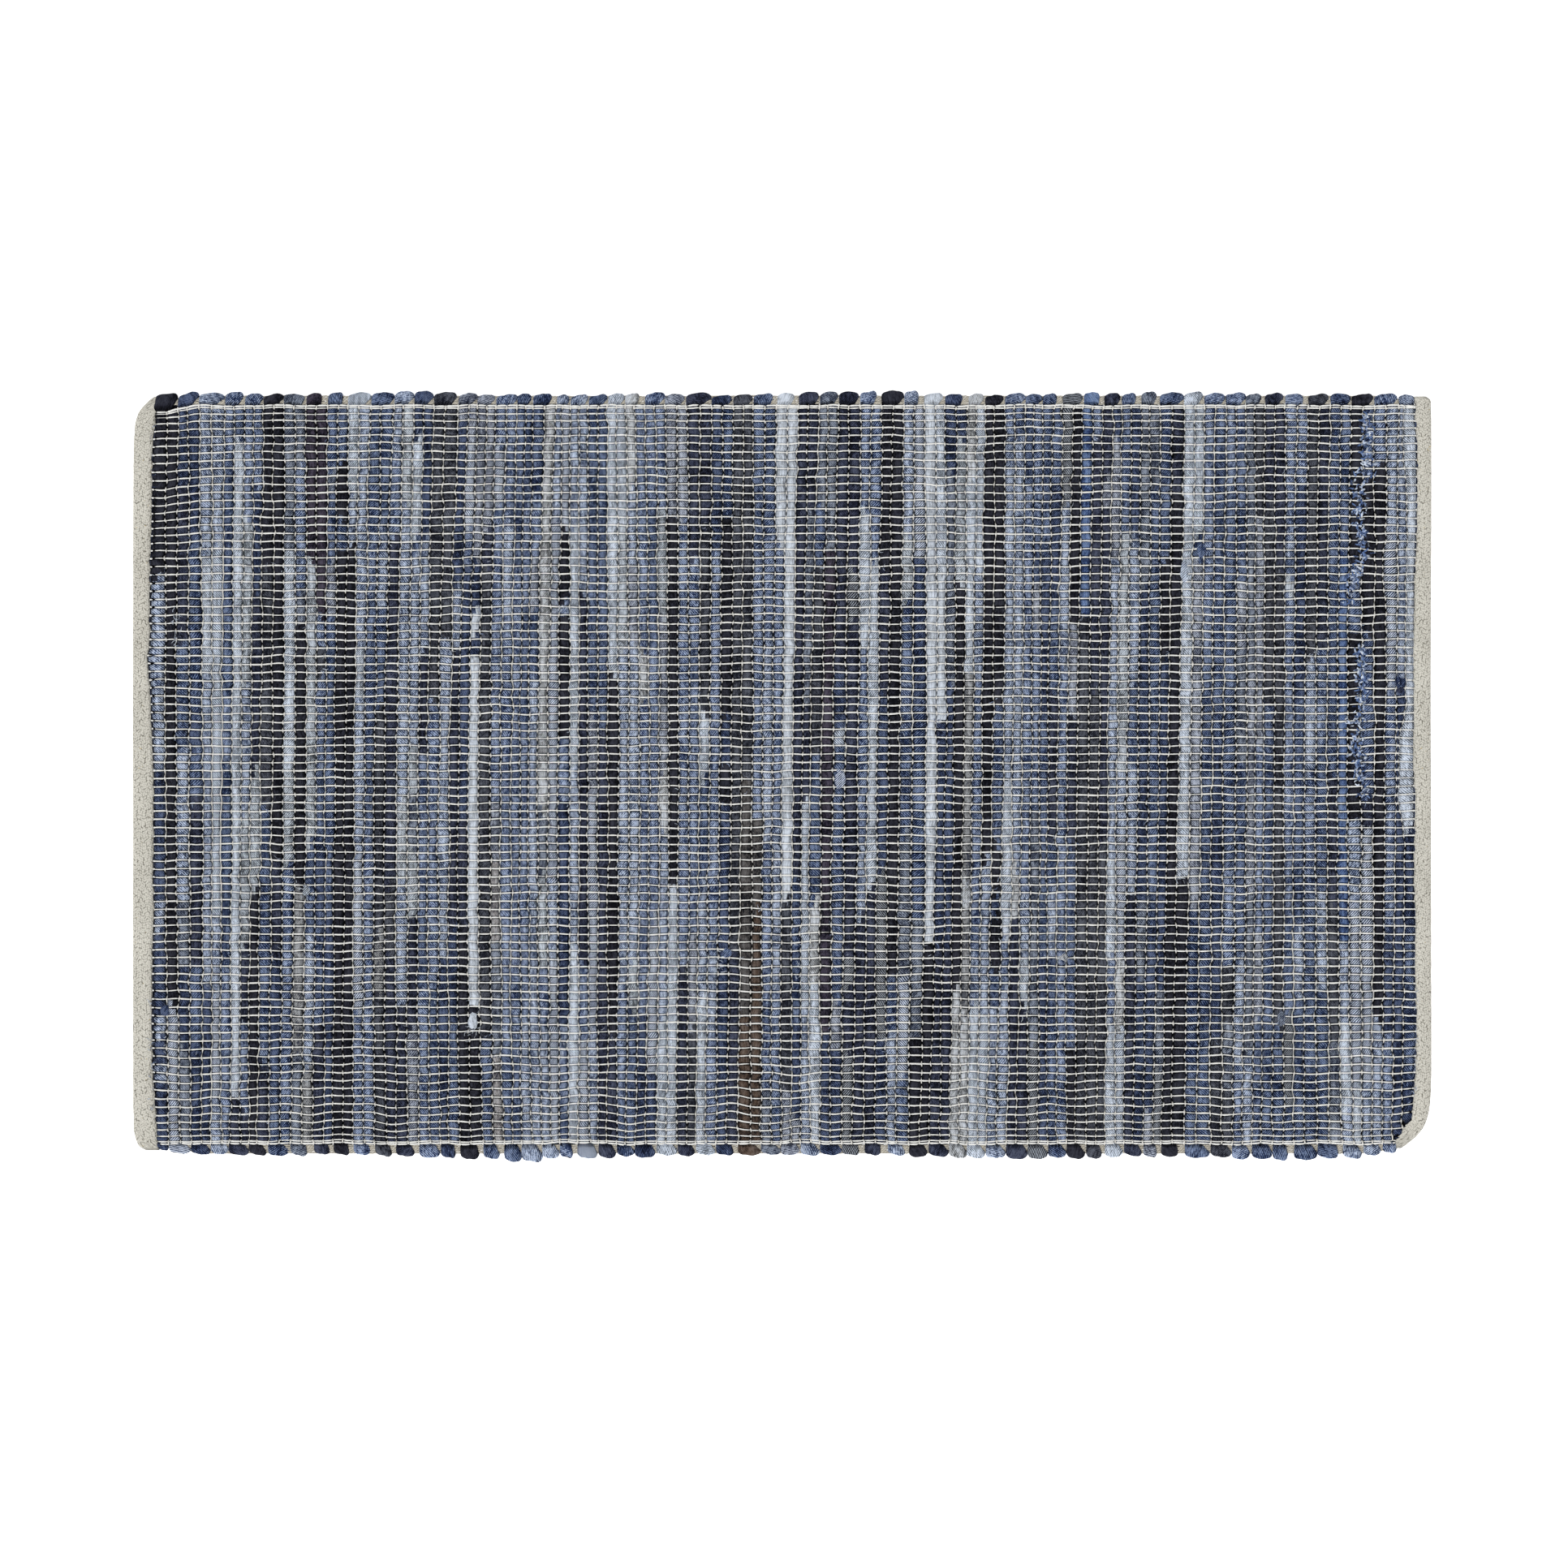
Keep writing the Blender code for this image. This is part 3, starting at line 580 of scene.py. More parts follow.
def tape_material():
    """Ecru knitted tape: slanting stitches, with pinholes where three stitches meet, and painted shade
    between the stitches and in the pinholes.
    """
    recipe = Recipe("knitted_tape", 0.9)
    weave = recipe.attribute("weave")
    across, along, _ = recipe.node("ShaderNodeSeparateXYZ", {0: weave}).outputs
    slant = recipe.added(along, recipe.times(recipe.maths("PINGPONG", across, 3.1), 0.55))
    place = recipe.node("ShaderNodeCombineXYZ", {0: across, 1: slant}).outputs[0]
    bend = recipe.noise(weave, (0.35, 0.35, 1.0), 1.0, 1.0)
    place = recipe.node("ShaderNodeVectorMath", {0: place, 1: bend}, operation="ADD").outputs[0]
    inputs = {"Vector": recipe.stretched(place, (0.80, 0.62, 1.0)), "Scale": 1.0, "Randomness": 0.55}
    stitch = recipe.node("ShaderNodeTexVoronoi", inputs, voronoi_dimensions="2D").outputs["Distance"]
    fuzz = recipe.noise(weave, EVEN, 1.7, 4.0, 0.65)
    cloudy = recipe.noise(weave, (0.12, 0.06, 1.0))
    edge = recipe.added(stitch, recipe.about(fuzz, 0.3))
    hole = recipe.times(recipe.maths("SUBTRACT", edge, 0.61), 6.0, clamp=True)
    fleck = recipe.maths("GREATER_THAN", recipe.noise(weave, (0.5, 0.5, 3.0), 1.0, 1.0), 0.76)
    # The stitch term darkens towards each stitch's edge: painted shade between the stitches.
    tone = recipe.added(
        recipe.about(stitch, -1.3),
        recipe.about(fuzz, 1.5),
        recipe.about(cloudy, 0.6),
        0.5,
        clamp=True,
    )
    stops = ((0.0, srgb((132, 129, 118))), (0.5, srgb((184, 181, 171))), (1.0, srgb((214, 211, 201))))
    colour = recipe.ramp(tone, stops)
    colour = recipe.mixed(fleck, colour, srgb((176, 160, 120)))
    # The pinholes get a dark brown: painted shade in the holes.
    colour = recipe.mixed(recipe.times(hole, 0.6), colour, srgb((110, 104, 90)))
    height = recipe.added(recipe.times(stitch, -1.0), recipe.times(fuzz, 0.6))
    height = recipe.maths("SUBTRACT", height, recipe.times(hole, 0.8))
    return recipe.finish(colour, height, 0.45)


CLOTH_NAMES = list(CLOTHS)
CLOTH_MATERIALS = [cloth_material(name, *CLOTHS[name]) for name in CLOTH_NAMES]
WARP_COTTON = thread_material("warp_cotton", (221, 220, 216), (255, 255, 252), 1.3)
PICK_COTTON = thread_material("pick_cotton", (207, 205, 198), (253, 251, 246), 1.2)
# The end threads are cream cotton given darker tones: painted shade under and beside the loops.
SHADED_END_COTTON = thread_material("end_cotton_shaded", (120, 112, 99), (230, 225, 212), 1.5)
TAPE_COTTON = tape_material()


# Meshes


def grid_faces(rows, columns, around=False):
    """Quads between the points of a grid that is stored row by row."""
    index = np.arange(rows * columns).reshape(rows, columns)
    if around:
        index = np.concatenate([index, index[:, :1]], axis=1)
    quads = [index[:-1, :-1], index[:-1, 1:], index[1:, 1:], index[1:, :-1]]
    return np.stack(quads, axis=-1).reshape(-1, 4)


def tube_faces(rings, around, caps):
    """Faces of a closed tube, with the caps given for its first ring over its last one too."""
    last = (rings - 1) * around
    caps = caps + [tuple(last + corner for corner in cap[::-1]) for cap in caps]
    return np.concatenate([grid_faces(rings, around, around=True), caps])


def band_faces(rings, wide):
    """Faces of a closed band. Each ring has wide points on its outer skin, then wide on its inner one."""
    caps = [(i, i + 1, 2 * wide - 2 - i, 2 * wide - 1 - i) for i in range(wide - 1)]
    return tube_faces(rings, 2 * wide, caps)


def turned_out(points, faces, towards):
    """The faces, turned round if need be: outwards for a closed piece, or up or down for an open one."""
    a, b, c, d = (points[faces[:, corner]] for corner in range(4))
    normal = np.cross(c - a, d - b)
    if towards == "out":
        facing = ((a + b + c + d) * normal).sum()
    else:
        facing = normal[:, 2].sum() * (1 if towards == "up" else -1)
    return faces if facing > 0 else faces[:, ::-1]


class Piece:
    """Gathers grids of points into one mesh."""

    def __init__(self, name, materials):
        self.name = name
        self.materials = materials
        self.points, self.faces, self.weave, self.rag, self.worn = [], [], [], [], []
        self.count = 0

    def add(self, points, faces, weave, rag=None, worn=None, towards="out"):
        """points in (px, px, mm), and faces numbered from 0 within them."""
        placed = in_metres(points).reshape(-1, 3)
        turned = turned_out(placed - placed.mean(axis=0), np.asarray(faces), towards)
        self.points.append(placed)
        self.faces.append(turned + self.count)
        self.weave.append(np.asarray(weave, float).reshape(-1, 3))
        self.rag.append(np.zeros((len(placed), 3)) if rag is None else np.asarray(rag, float).reshape(-1, 3))
        self.worn.append(np.zeros(len(faces), int) if worn is None else np.asarray(worn, int))
        self.count += len(placed)

    def build(self):
        mesh = bpy.data.meshes.new(self.name)
        mesh.from_pydata(np.concatenate(self.points).tolist(), [], np.concatenate(self.faces).tolist())
        for material in self.materials:
            mesh.materials.append(material)
        mesh.polygons.foreach_set("material_index", np.concatenate(self.worn).astype(np.int32))
        mesh.polygons.foreach_set("use_smooth", np.ones(len(mesh.polygons), bool))
        for name, values in (("weave", self.weave), ("rag", self.rag)):
            layer = mesh.attributes.new(name, "FLOAT_VECTOR", "POINT")
            layer.data.foreach_set("vector", np.concatenate(values).astype(np.float32).ravel())
        made = bpy.data.objects.new(self.name, mesh)
        bpy.context.scene.collection.objects.link(made)
        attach(made, "root")
        return made


# Section of a rag strip: place across it, share of the rise from its side to its crown
SECTION = ((-1.0, 0.0), (-0.78, 0.88), (0.0, 1.0), (0.78, 0.88), (1.0, 0.0))
# Points round a rag: its section, and one under it
AROUND_RAG = len(SECTION) + 1
# Caps over a rag's end, and where each face round it lies across the rag
RAG_CAPS = [(0, 1, 2, 5), (5, 2, 3, 4)]
FACE_PLACES = (-1.0, -0.4, 0.4, 1.0, 0.0, 0.0)
# Rows of points in a cell between two warps, as a share of the cell
CELL_ROWS = (0.0, 0.22, 0.78)
# Half the width of the cloth that shows on a rag, in mm
SHOWN_CLOTH = 3.9
# Crown of the rag that is tucked in beside a tape
TUCKED_CROWN = 4.0


def rag_rows(end):
    """Rows of points down a rag from its far end to its near one, as (px down, share of the cell)."""
    rows = [(RAG_FAR_END, 0.22), (ROWS[0] - DOUBLE_THREAD, 0.0), (ROWS[0] - DOUBLE_THREAD / 2, 0.5)]
    for row, following in zip(ROWS[:-1], ROWS[1:]):
        if following > end:
            break
        rows += [(row + share * (following - row), share) for share in CELL_ROWS]
    last = min(end, ROWS[-1])
    rows += [(last, 0.0), (last + DOUBLE_THREAD / 2, 0.5), (last + DOUBLE_THREAD, 0.0), (last + 4.4, 0.22)]
    return np.array(rows)


def rag_points(rows, sides, crown, draw):
    """Points round a rag at each of its rows."""
    down, share = rows[:, 0], rows[:, 1]
    nipped = share == 0.0
    count = len(rows)
    left, right = sides(down)
    middle = (left + right) / 2
    reach = (right - left) / 2 * np.where(nipped, PINCHED_WIDTH, 1.01 + draw.normal(0, 0.02, count))
    lean = draw.normal(0, 0.05, count)
    plump = crown + draw.normal(0, 0.16, count) + 0.22 * np.sin(down / 31.0 + draw.uniform(0, 6))
    top = np.where(nipped, plump - (RAG_CROWN - RAG_PINCH), plump)
    top = np.where(share == 0.5, top - 0.7, top)
    top[[0, -1]] -= 1.2
    points = np.empty((count, AROUND_RAG, 3))
    for column, (place, rise) in enumerate(SECTION):
        shifted = place + (lean if abs(place) < 1 else 0.0)
        points[:, column, 0] = middle + reach * shifted
        points[:, column, 1] = down
        wavy = draw.normal(0, 0.10, count) if rise > 0 else 0.0
        points[:, column, 2] = RAG_SIDE + (top - RAG_SIDE) * rise + wavy

    # The underside is lifted halfway between the warps, where it goes over those beneath it
    step = np.diff(down, prepend=2 * down[0] - down[1])
    under_nip = (share == CELL_ROWS[-1]) & (np.arange(count) > 2)
    points[:, -1, 0] = middle
    points[:, -1, 1] = down - np.where(nipped, step, np.where(under_nip, step * 0.5, 0.0))
    points[:, -1, 2] = np.where(under_nip, RAG_UNDER_PINCH, RAG_UNDER)
    points[:, :, 1] = row_down(points[:, :, 0], points[:, :, 1])
    return points


def rag_pattern(points, nipped, draw):
    """For each point of a rag its place in the pattern, and how near it is to the side and to a warp."""
    side_sign = draw.choice([-1, 1])
    offset = draw.uniform(0, 400, 2)
    places = np.array([place for place, _ in SECTION] + [0.0])
    under = np.arange(AROUND_RAG) == AROUND_RAG - 1
    weave = np.empty(points.shape)
    weave[:, :, 0] = offset[0] + side_sign * places * SHOWN_CLOTH + np.where(under, 5.0, 0.0)
    weave[:, :, 1] = offset[1] + points[:, :, 1] * PIXEL
    weave[:, :, 2] = draw.uniform()
    # The side and warp nearness darken the cloth's colour: painted shade at the rag's sides and beside each
    # warp.
    rag = np.empty(points.shape)
    rag[:, :, 0] = np.abs(places)
    rag[:, :, 1] = nipped[:, None]
    rag[:, :, 2] = draw.uniform()
    return weave, rag


def rag_cloths(down, cloth_for, draw):
    """Number of the cloth of each face of a rag. Where one cloth follows another they meet on a slant."""
    between = (down[:-1] + down[1:]) / 2
    slant = 15.0 * np.sin(between / 23.0 + draw.uniform(0, 6))
    worn = [
        CLOTH_NAMES.index(cloth_for(place + shift * column))
        for place, shift in zip(between, slant)
        for column in FACE_PLACES
    ]
    return worn + [worn[0], worn[0], worn[-1], worn[-1]]


def add_rag(piece, sides, end, crown, draw, cloth_for):
    """One pick of rag, a lens-shaped tube from the far edge to the near one, nipped in at every warp.

    sides and cloth_for give its two sides and its cloth at places down the rug.
    """
    rows = rag_rows(end)
    points = rag_points(rows, sides, crown, draw)
    weave, rag = rag_pattern(points, rows[:, 1] == 0.0, draw)
    worn = rag_cloths(rows[:, 0], cloth_for, draw)
    piece.add(points, tube_faces(len(rows), AROUND_RAG, RAG_CAPS), weave, rag, worn)


def pick_end(pick):
    """Where a pick ends at the near edge: the rounded tape cuts the last two short."""
    return {PICKS - 1: 1388.0, PICKS - 2: 1401.0}.get(pick, RAG_NEAR_END)


def sides_of(pick, down):
    """The two sides of a pick. The first and the last one reach in under the tapes."""
    left, right = valley(pick, down), valley(pick + 1, down)
    if pick == 0:
        left = np.minimum(left, tape_inner(LEFT_TAPE, down) + 1.0)
    if pick == PICKS - 1:
        right = np.maximum(right, tape_inner(RIGHT_TAPE, down) - 1.0)
    return left, right


def tucked_sides(table, left, right, down):
    """The two sides of a rag that is tucked in beside a tape, from the tape's inner edge."""
    return tape_inner(table, down) + left, tape_inner(table, down) + right


def make_panel(name, first, last):
    piece = Piece(name, CLOTH_MATERIALS)
    draw = np.random.default_rng(100 + first)
    for pick in range(first, last):
        add_rag(piece, partial(sides_of, pick), pick_end(pick), RAG_CROWN, draw, partial(cloth_at, pick))
    if first == 0:
        sides = partial(tucked_sides, LEFT_TAPE, -5.0, 2.4)
        add_rag(piece, sides, RAG_NEAR_END, TUCKED_CROWN, draw, lambda down: "ink")
    if last == PICKS:
        sides = partial(tucked_sides, RIGHT_TAPE, -2.4, 5.0)
        add_rag(piece, sides, pick_end(PICKS - 1), TUCKED_CROWN, draw, lambda down: "navy")
    return piece.build()


def ribbon(path, radius, lift, drop):
    """Three lines of points along a thread: its two sides and its upper line."""
    ahead = np.gradient(path[:, 0]), np.gradient(path[:, 1])
    length = np.maximum(np.hypot(*ahead), 1e-6)
    sideways = np.stack([-ahead[1] / length, ahead[0] / length], axis=-1)
    radius = np.asarray(radius).reshape(-1, 1) / PIXEL
    points = np.repeat(path[:, None, :], 3, axis=1)
    points[:, 0, :2] -= sideways * radius
    points[:, 2, :2] += sideways * radius
    points[:, 0, 2] -= drop
    points[:, 2, 2] -= drop
    points[:, 1, 2] += lift
    return points


def add_thread(piece, path, radius, draw, towards="up"):
    """A thread seen from one side, two faces wide."""
    thick = radius * (1 + draw.normal(0, 0.07, len(path)))
    sign = 1.0 if towards == "up" else -1.0
    points = ribbon(path, thick, sign * thick * 0.85, sign * thick * 0.55)
    steps = np.hypot(np.diff(path[:, 0]), np.diff(path[:, 1])) * PIXEL
    along = np.concatenate([[0.0], np.cumsum(steps)]) + draw.uniform(0, 300)
    weave = np.empty((len(path), 3, 3))
    weave[:, :, 0] = np.array([-0.9, 0.0, 0.9])
    weave[:, :, 1] = along[:, None]
    weave[:, :, 2] = draw.uniform()
    piece.add(points, grid_faces(len(path), 3), weave, towards=towards)


# A warp over one rag, as (share of the rag's width, height)
OVER_RAG = ((0.0, 4.05), (0.22, 5.05), (0.5, 5.25), (0.78, 5.05))
UNDER_RAG = ((0.0, 2.2), (0.5, 0.62))
# A thin pick past one warp, as (share of the cell, height)
PAST_WARP = ((0.0, 5.30), (0.2, 4.45), (0.5, 2.3), (0.8, 4.45))
# The share in PAST_WARP that is deepest, and its height where the valley is open
DEEPEST = 2
OPEN_HEIGHT = 4.0
# How much higher the doubled warps lie, and the height of an under warp's ends
DOUBLE_LIFT = 0.25
UNDER_END = 1.4


def warp_path(down, shares, draw, rough):
    """The path of a warp at a row, from tape to tape."""
    starts, ends = valley(np.arange(PICKS), down), valley(np.arange(1, PICKS + 1), down)
    across, height = [], []
    for share, z in shares:
        across.append(starts + share * (ends - starts))
        height.append(z + draw.normal(0, rough, PICKS))
    across = np.stack(across, axis=-1).ravel()
    height = np.stack(height, axis=-1).ravel()
    first, last = tape_inner(LEFT_TAPE, down), tape_inner(RIGHT_TAPE, down)
    kept = (across > first + 1.5) & (across < last - 1.5)
    across = np.concatenate([[first - 3.0, first + 0.3], across[kept], [last - 0.3, last + 3.0]])
    height = np.concatenate([[3.0, 4.3], height[kept], [4.3, 3.0]])
    wobble = np.convolve(draw.normal(0, 0.55, len(across) + 4), np.ones(5) / 5, "valid")
    return np.stack([across, row_down(across, down) + wobble, height], axis=-1)


def make_warps():
    draw = np.random.default_rng(21)
    over = Piece("warp_over", [WARP_COTTON])
    for down in ROWS:
        add_thread(over, warp_path(down, OVER_RAG, draw, 0.06), WARP_RADIUS, draw)
    for down in (ROWS[0] - DOUBLE_THREAD, ROWS[-1] + DOUBLE_THREAD):
        path = warp_path(down, OVER_RAG, draw, 0.10)
        path[2:-2, 2] += DOUBLE_LIFT
        add_thread(over, path, WARP_RADIUS, draw)
    under = Piece("warp_under", [WARP_COTTON])
    for down in (ROWS[:-1] + ROWS[1:]) / 2:
        path = warp_path(down, UNDER_RAG, draw, 0.05)
        path[[0, 1, -2, -1], 2] = UNDER_END
        add_thread(under, path, WARP_RADIUS, draw, "down")
    return over.build(), under.build()


def thin_heights(number, rows, shares):
    """Heights of a thin pick: deep between two warps, but not where its valley is open."""
    heights = np.array(PAST_WARP)[:, 1][shares]
    for open_one, start, stop in OPEN_VALLEYS:
        if number == open_one:
            here = (rows > start) & (rows < stop) & (shares == DEEPEST)
            heights = np.where(here, OPEN_HEIGHT, heights)
    return heights


def make_thin_picks():
    draw = np.random.default_rng(22)
    piece = Piece("thin_picks", [PICK_COTTON])
    places = np.array([share for share, _ in PAST_WARP])
    step = np.diff(ROWS)
    for number in range(1, PICKS):
        rows = (ROWS[:-1, None] + places[None, :] * step[:, None]).ravel()
        shares = np.tile(np.arange(len(PAST_WARP)), len(step))
        kept = rows < pick_end(number) - 1.0
        rows, shares = rows[kept], shares[kept]
        rows = np.concatenate([[ROWS[0] - DOUBLE_THREAD - 2.0], rows, [rows[-1] + 2.0, rows[-1] + 6.0]])
        shares = np.concatenate([[1], shares, [0, 1]])
        height = thin_heights(number, rows, shares) + draw.normal(0, 0.10, len(rows))
        shown = draw.uniform(-1.3, 0.8) + 0.4 * np.sin(rows / 60.0 + draw.uniform(0, 6))
        height = height + np.where(shares == DEEPEST, shown + draw.normal(0, 0.3, len(rows)), 0.0)
        across = valley(number, rows) + draw.normal(0, 0.18, len(rows))
        path = np.stack([across, row_down(across, rows), height], axis=-1)
        thick = np.where(shares == DEEPEST, THIN_RADIUS * 0.7, THIN_RADIUS)
        add_thread(piece, path, thick, draw)
    return piece.build()


# Loops, each a band that goes out over the end threads, round them and back underneath

BAND_ACROSS = 11
BAND_AROUND = 11
BAND_THICK = 0.8
# Over a loop's band: the share of its width, the angle round it and the share of its reach
ACROSS_BAND = (0.5 - 0.5 * np.cos(np.linspace(0, math.pi, BAND_ACROSS)))[None, :]
ROUND_BAND = np.linspace(0, math.pi, BAND_AROUND)[:, None]
OUT_BAND = np.sin(ROUND_BAND) ** 0.72
BUNDLE_SHORT = 12.0
# End threads, as (px from the root of the loops, height)
BUNDLE = ((12.0, 3.0), (9.7, 3.7), (7.4, 3.9), (5.1, 4.1), (2.8, 4.0))
# An end thread past one loop, as (share of the loop's width, change of height)
PAST_LOOP = ((0.0, -0.7), (0.3, -0.9), (0.55, -0.7), (0.75, -0.05), (0.9, 0.0))
END_RADIUS = 0.62
# Where the loops' sides, their roots and the colours of their rags are taken, in px down
FAR_LOOPS = (500.0, 503.0, 505.0)
NEAR_LOOPS = (1410.0, 1405.4, 1403.0)
# The same for the half loop at the near left corner, and how far out it goes
HALF_LOOP = (1410.0, 1406.5, 1405.0, 1417.5)
# What the first loops give up to the left tape, in px
BESIDE_TAPE = 1.5
# The first of the two picks that each loop joins
FAR_FIRSTS = range(0, PICKS, 2)
NEAR_FIRSTS = range(1, PICKS - 2, 2)


def outline_at(table, across):
    table = np.array(table, float)
    return np.interp(across, table[:, 0], table[:, 1])


def loop_points(left, right, root, outer, draw):
    """Points of a loop's band round its outer skin and its inner one, from its upper end to its lower one."""
    across, turn, out = ACROSS_BAND, ROUND_BAND, OUT_BAND
    width = right - left
    away = math.copysign(1, outer - root)
    rise = np.sign(np.cos(turn)) * np.abs(np.cos(turn)) ** 0.62
    over = turn < math.pi / 2
    narrow = draw.uniform(0.54, 0.68)
    widest = draw.uniform(0.93, 1.04) if draw.uniform() < 0.65 else draw.uniform(0.70, 0.86)
    start = np.where(over, 0.02, 0.98 - narrow)
    fan = out ** draw.uniform(0.9, 1.4)
    tuck = 0.09 * (1 - smooth(out, 0.0, 0.3))
    left_side = start * (1 - fan) + draw.uniform(-0.01, 0.03) * fan + tuck
    right_side = (start + narrow) * (1 - fan) + widest * fan - tuck
    place = left_side + (right_side - left_side) * across
    peak = draw.uniform(0.50, 0.75)
    bulge = np.exp(-(((place - peak) / draw.uniform(0.34, 0.5)) ** 2)) - 0.65
    folds = draw.uniform(1.3, 2.6)
    crease = np.sin(2 * math.pi * folds * across + draw.uniform(0, 6))
    rounded = 0.74 + 0.26 * np.sqrt(np.clip(1 - (2 * across - 1) ** 6, 0, 1))
    reach = outer - row_down(left + width / 2, root) + away * (2.6 * bulge + 0.35 * crease * out)
    reach = (reach + away * draw.uniform(-1.6, 1.2)) * rounded
    middle, half = 3.15, 2.55 + draw.uniform(-0.15, 0.2)
    wrinkle = 0.34 * crease * out * np.where(over, 1, 0.4)
    skins = []
    for inset in (0.0, 1.0):
        x = left + width * place
        y = row_down(x, root) + (reach - away * inset * BAND_THICK / PIXEL) * out
        z = middle + (half - inset * BAND_THICK) * rise + wrinkle * (1 - 0.5 * inset)
        sunk = 1.3 * (1 - smooth(out, 0.0, 0.35)) + 0.5 * smooth(across, 0.8, 1.0) * out
        z = z - np.where(over, sunk, 0.0)
        skins.append(np.stack(np.broadcast_arrays(x, y, z), axis=-1))
    return np.concatenate([skins[0], skins[1][:, ::-1]], axis=1)


def loop_pattern(points, left, root, draw):
    """For each point of a loop its place in the pattern, and how near it is to the side and to the root."""
    offset = draw.uniform(0, 400, 2)
    spin = draw.uniform(-0.7, 0.7)
    flat = (points[:, :, 0] - left) * PIXEL * draw.choice([-1, 1]), (points[:, :, 1] - root) * PIXEL
    weave = np.empty(points.shape)
    weave[:, :, 0] = offset[0] + math.cos(spin) * flat[0] + math.sin(spin) * flat[1]
    weave[:, :, 1] = offset[1] + math.cos(spin) * flat[1] - math.sin(spin) * flat[0] + 0.6 * points[:, :, 2]
    weave[:, :, 2] = draw.uniform()
    from_side = np.concatenate([ACROSS_BAND[0], ACROSS_BAND[0][::-1] + 0.13])
    # The side and root nearness darken the cloth's colour: painted shade at the band's sides and at its root.
    rag = np.zeros(points.shape)
    rag[:, :, 0] = 0.55 * np.abs(2 * np.clip(from_side, 0, 1) - 1)[None, :]
    rag[:, :, 1] = 0.9 * (1 - smooth(OUT_BAND, 0.0, 0.4))
    rag[:, :, 2] = draw.uniform(0.0, 0.7)
    return weave, rag


def add_loop(piece, left, right, root, outer, cloth, draw):
    """A loop between two valleys: the left rag fans out from its root and returns under the right one."""
    points = loop_points(left, right, root, outer, draw)
    weave, rag = loop_pattern(points, left, root, draw)
    faces = band_faces(BAND_AROUND, BAND_ACROSS)
    piece.add(points, faces, weave, rag, np.full(len(faces), CLOTH_NAMES.index(cloth)))


def add_loops(piece, firsts, places, outline, draw):
    """A row of loops, each of which joins two picks."""
    sides_at, root, seen_at = places
    for pick in firsts:
        left, right = valley(pick, sides_at), valley(pick + 2, sides_at)
        if pick == 0:
            left = left - BESIDE_TAPE
        outer = outline_at(outline, (left + right) / 2)
        add_loop(piece, left, right, root, outer, cloth_at(pick, seen_at), draw)


def make_loops():
    draw = np.random.default_rng(31)
    far = Piece("loops_far", CLOTH_MATERIALS)
    add_loops(far, FAR_FIRSTS, FAR_LOOPS, FAR_OUTLINE, draw)
    near = Piece("loops_near", CLOTH_MATERIALS)
    sides_at, root, seen_at, outer = HALF_LOOP
    left, right = valley(0, sides_at) + BESIDE_TAPE, valley(1, sides_at)
    add_loop(near, left, right, root, outer, cloth_at(0, seen_at), draw)
    add_loops(near, NEAR_FIRSTS, NEAR_LOOPS, NEAR_OUTLINE, draw)
    return far.build(), near.build()


def make_bundles():
    """The end threads that the loops go round, low under each loop and in sight beside it; their cotton is
    darkened with painted shade.
    """
    draw = np.random.default_rng(32)
    piece = Piece("selvedge_threads", [SHADED_END_COTTON])
    edges = ((500.5, -1.0, np.array(FAR_FIRSTS)), (1408.5, 1.0, np.array(NEAR_FIRSTS)))
    for root, away, firsts in edges:
        starts, ends = valley(firsts, root), valley(firsts + 2, root)
        for distance, height in BUNDLE:
            across = np.stack([starts + share * (ends - starts) for share, _ in PAST_LOOP], axis=-1).ravel()
            inside = np.minimum(across - starts[0], ends[-1] - across)
            taper = 0.45 + 0.55 * smooth(inside, 0, 50)
            lift = np.tile([change for _, change in PAST_LOOP], len(firsts))
            down = root + away * (distance * taper + draw.normal(0, 0.3, len(across)))
            z = height + lift + draw.normal(0, 0.08, len(across))
            path = np.stack([across, down, z], axis=-1)[1:]
            add_thread(piece, path[path[:, 0] < ends[-1] - BUNDLE_SHORT], END_RADIUS, draw)
    return piece.build()


# Tapes, each one band of cloth folded over a short end

TAPE_ROWS = 150
LEAF_POINTS = 7
FOLD_POINTS = 7
TAPE_AROUND = 2 * LEAF_POINTS + FOLD_POINTS


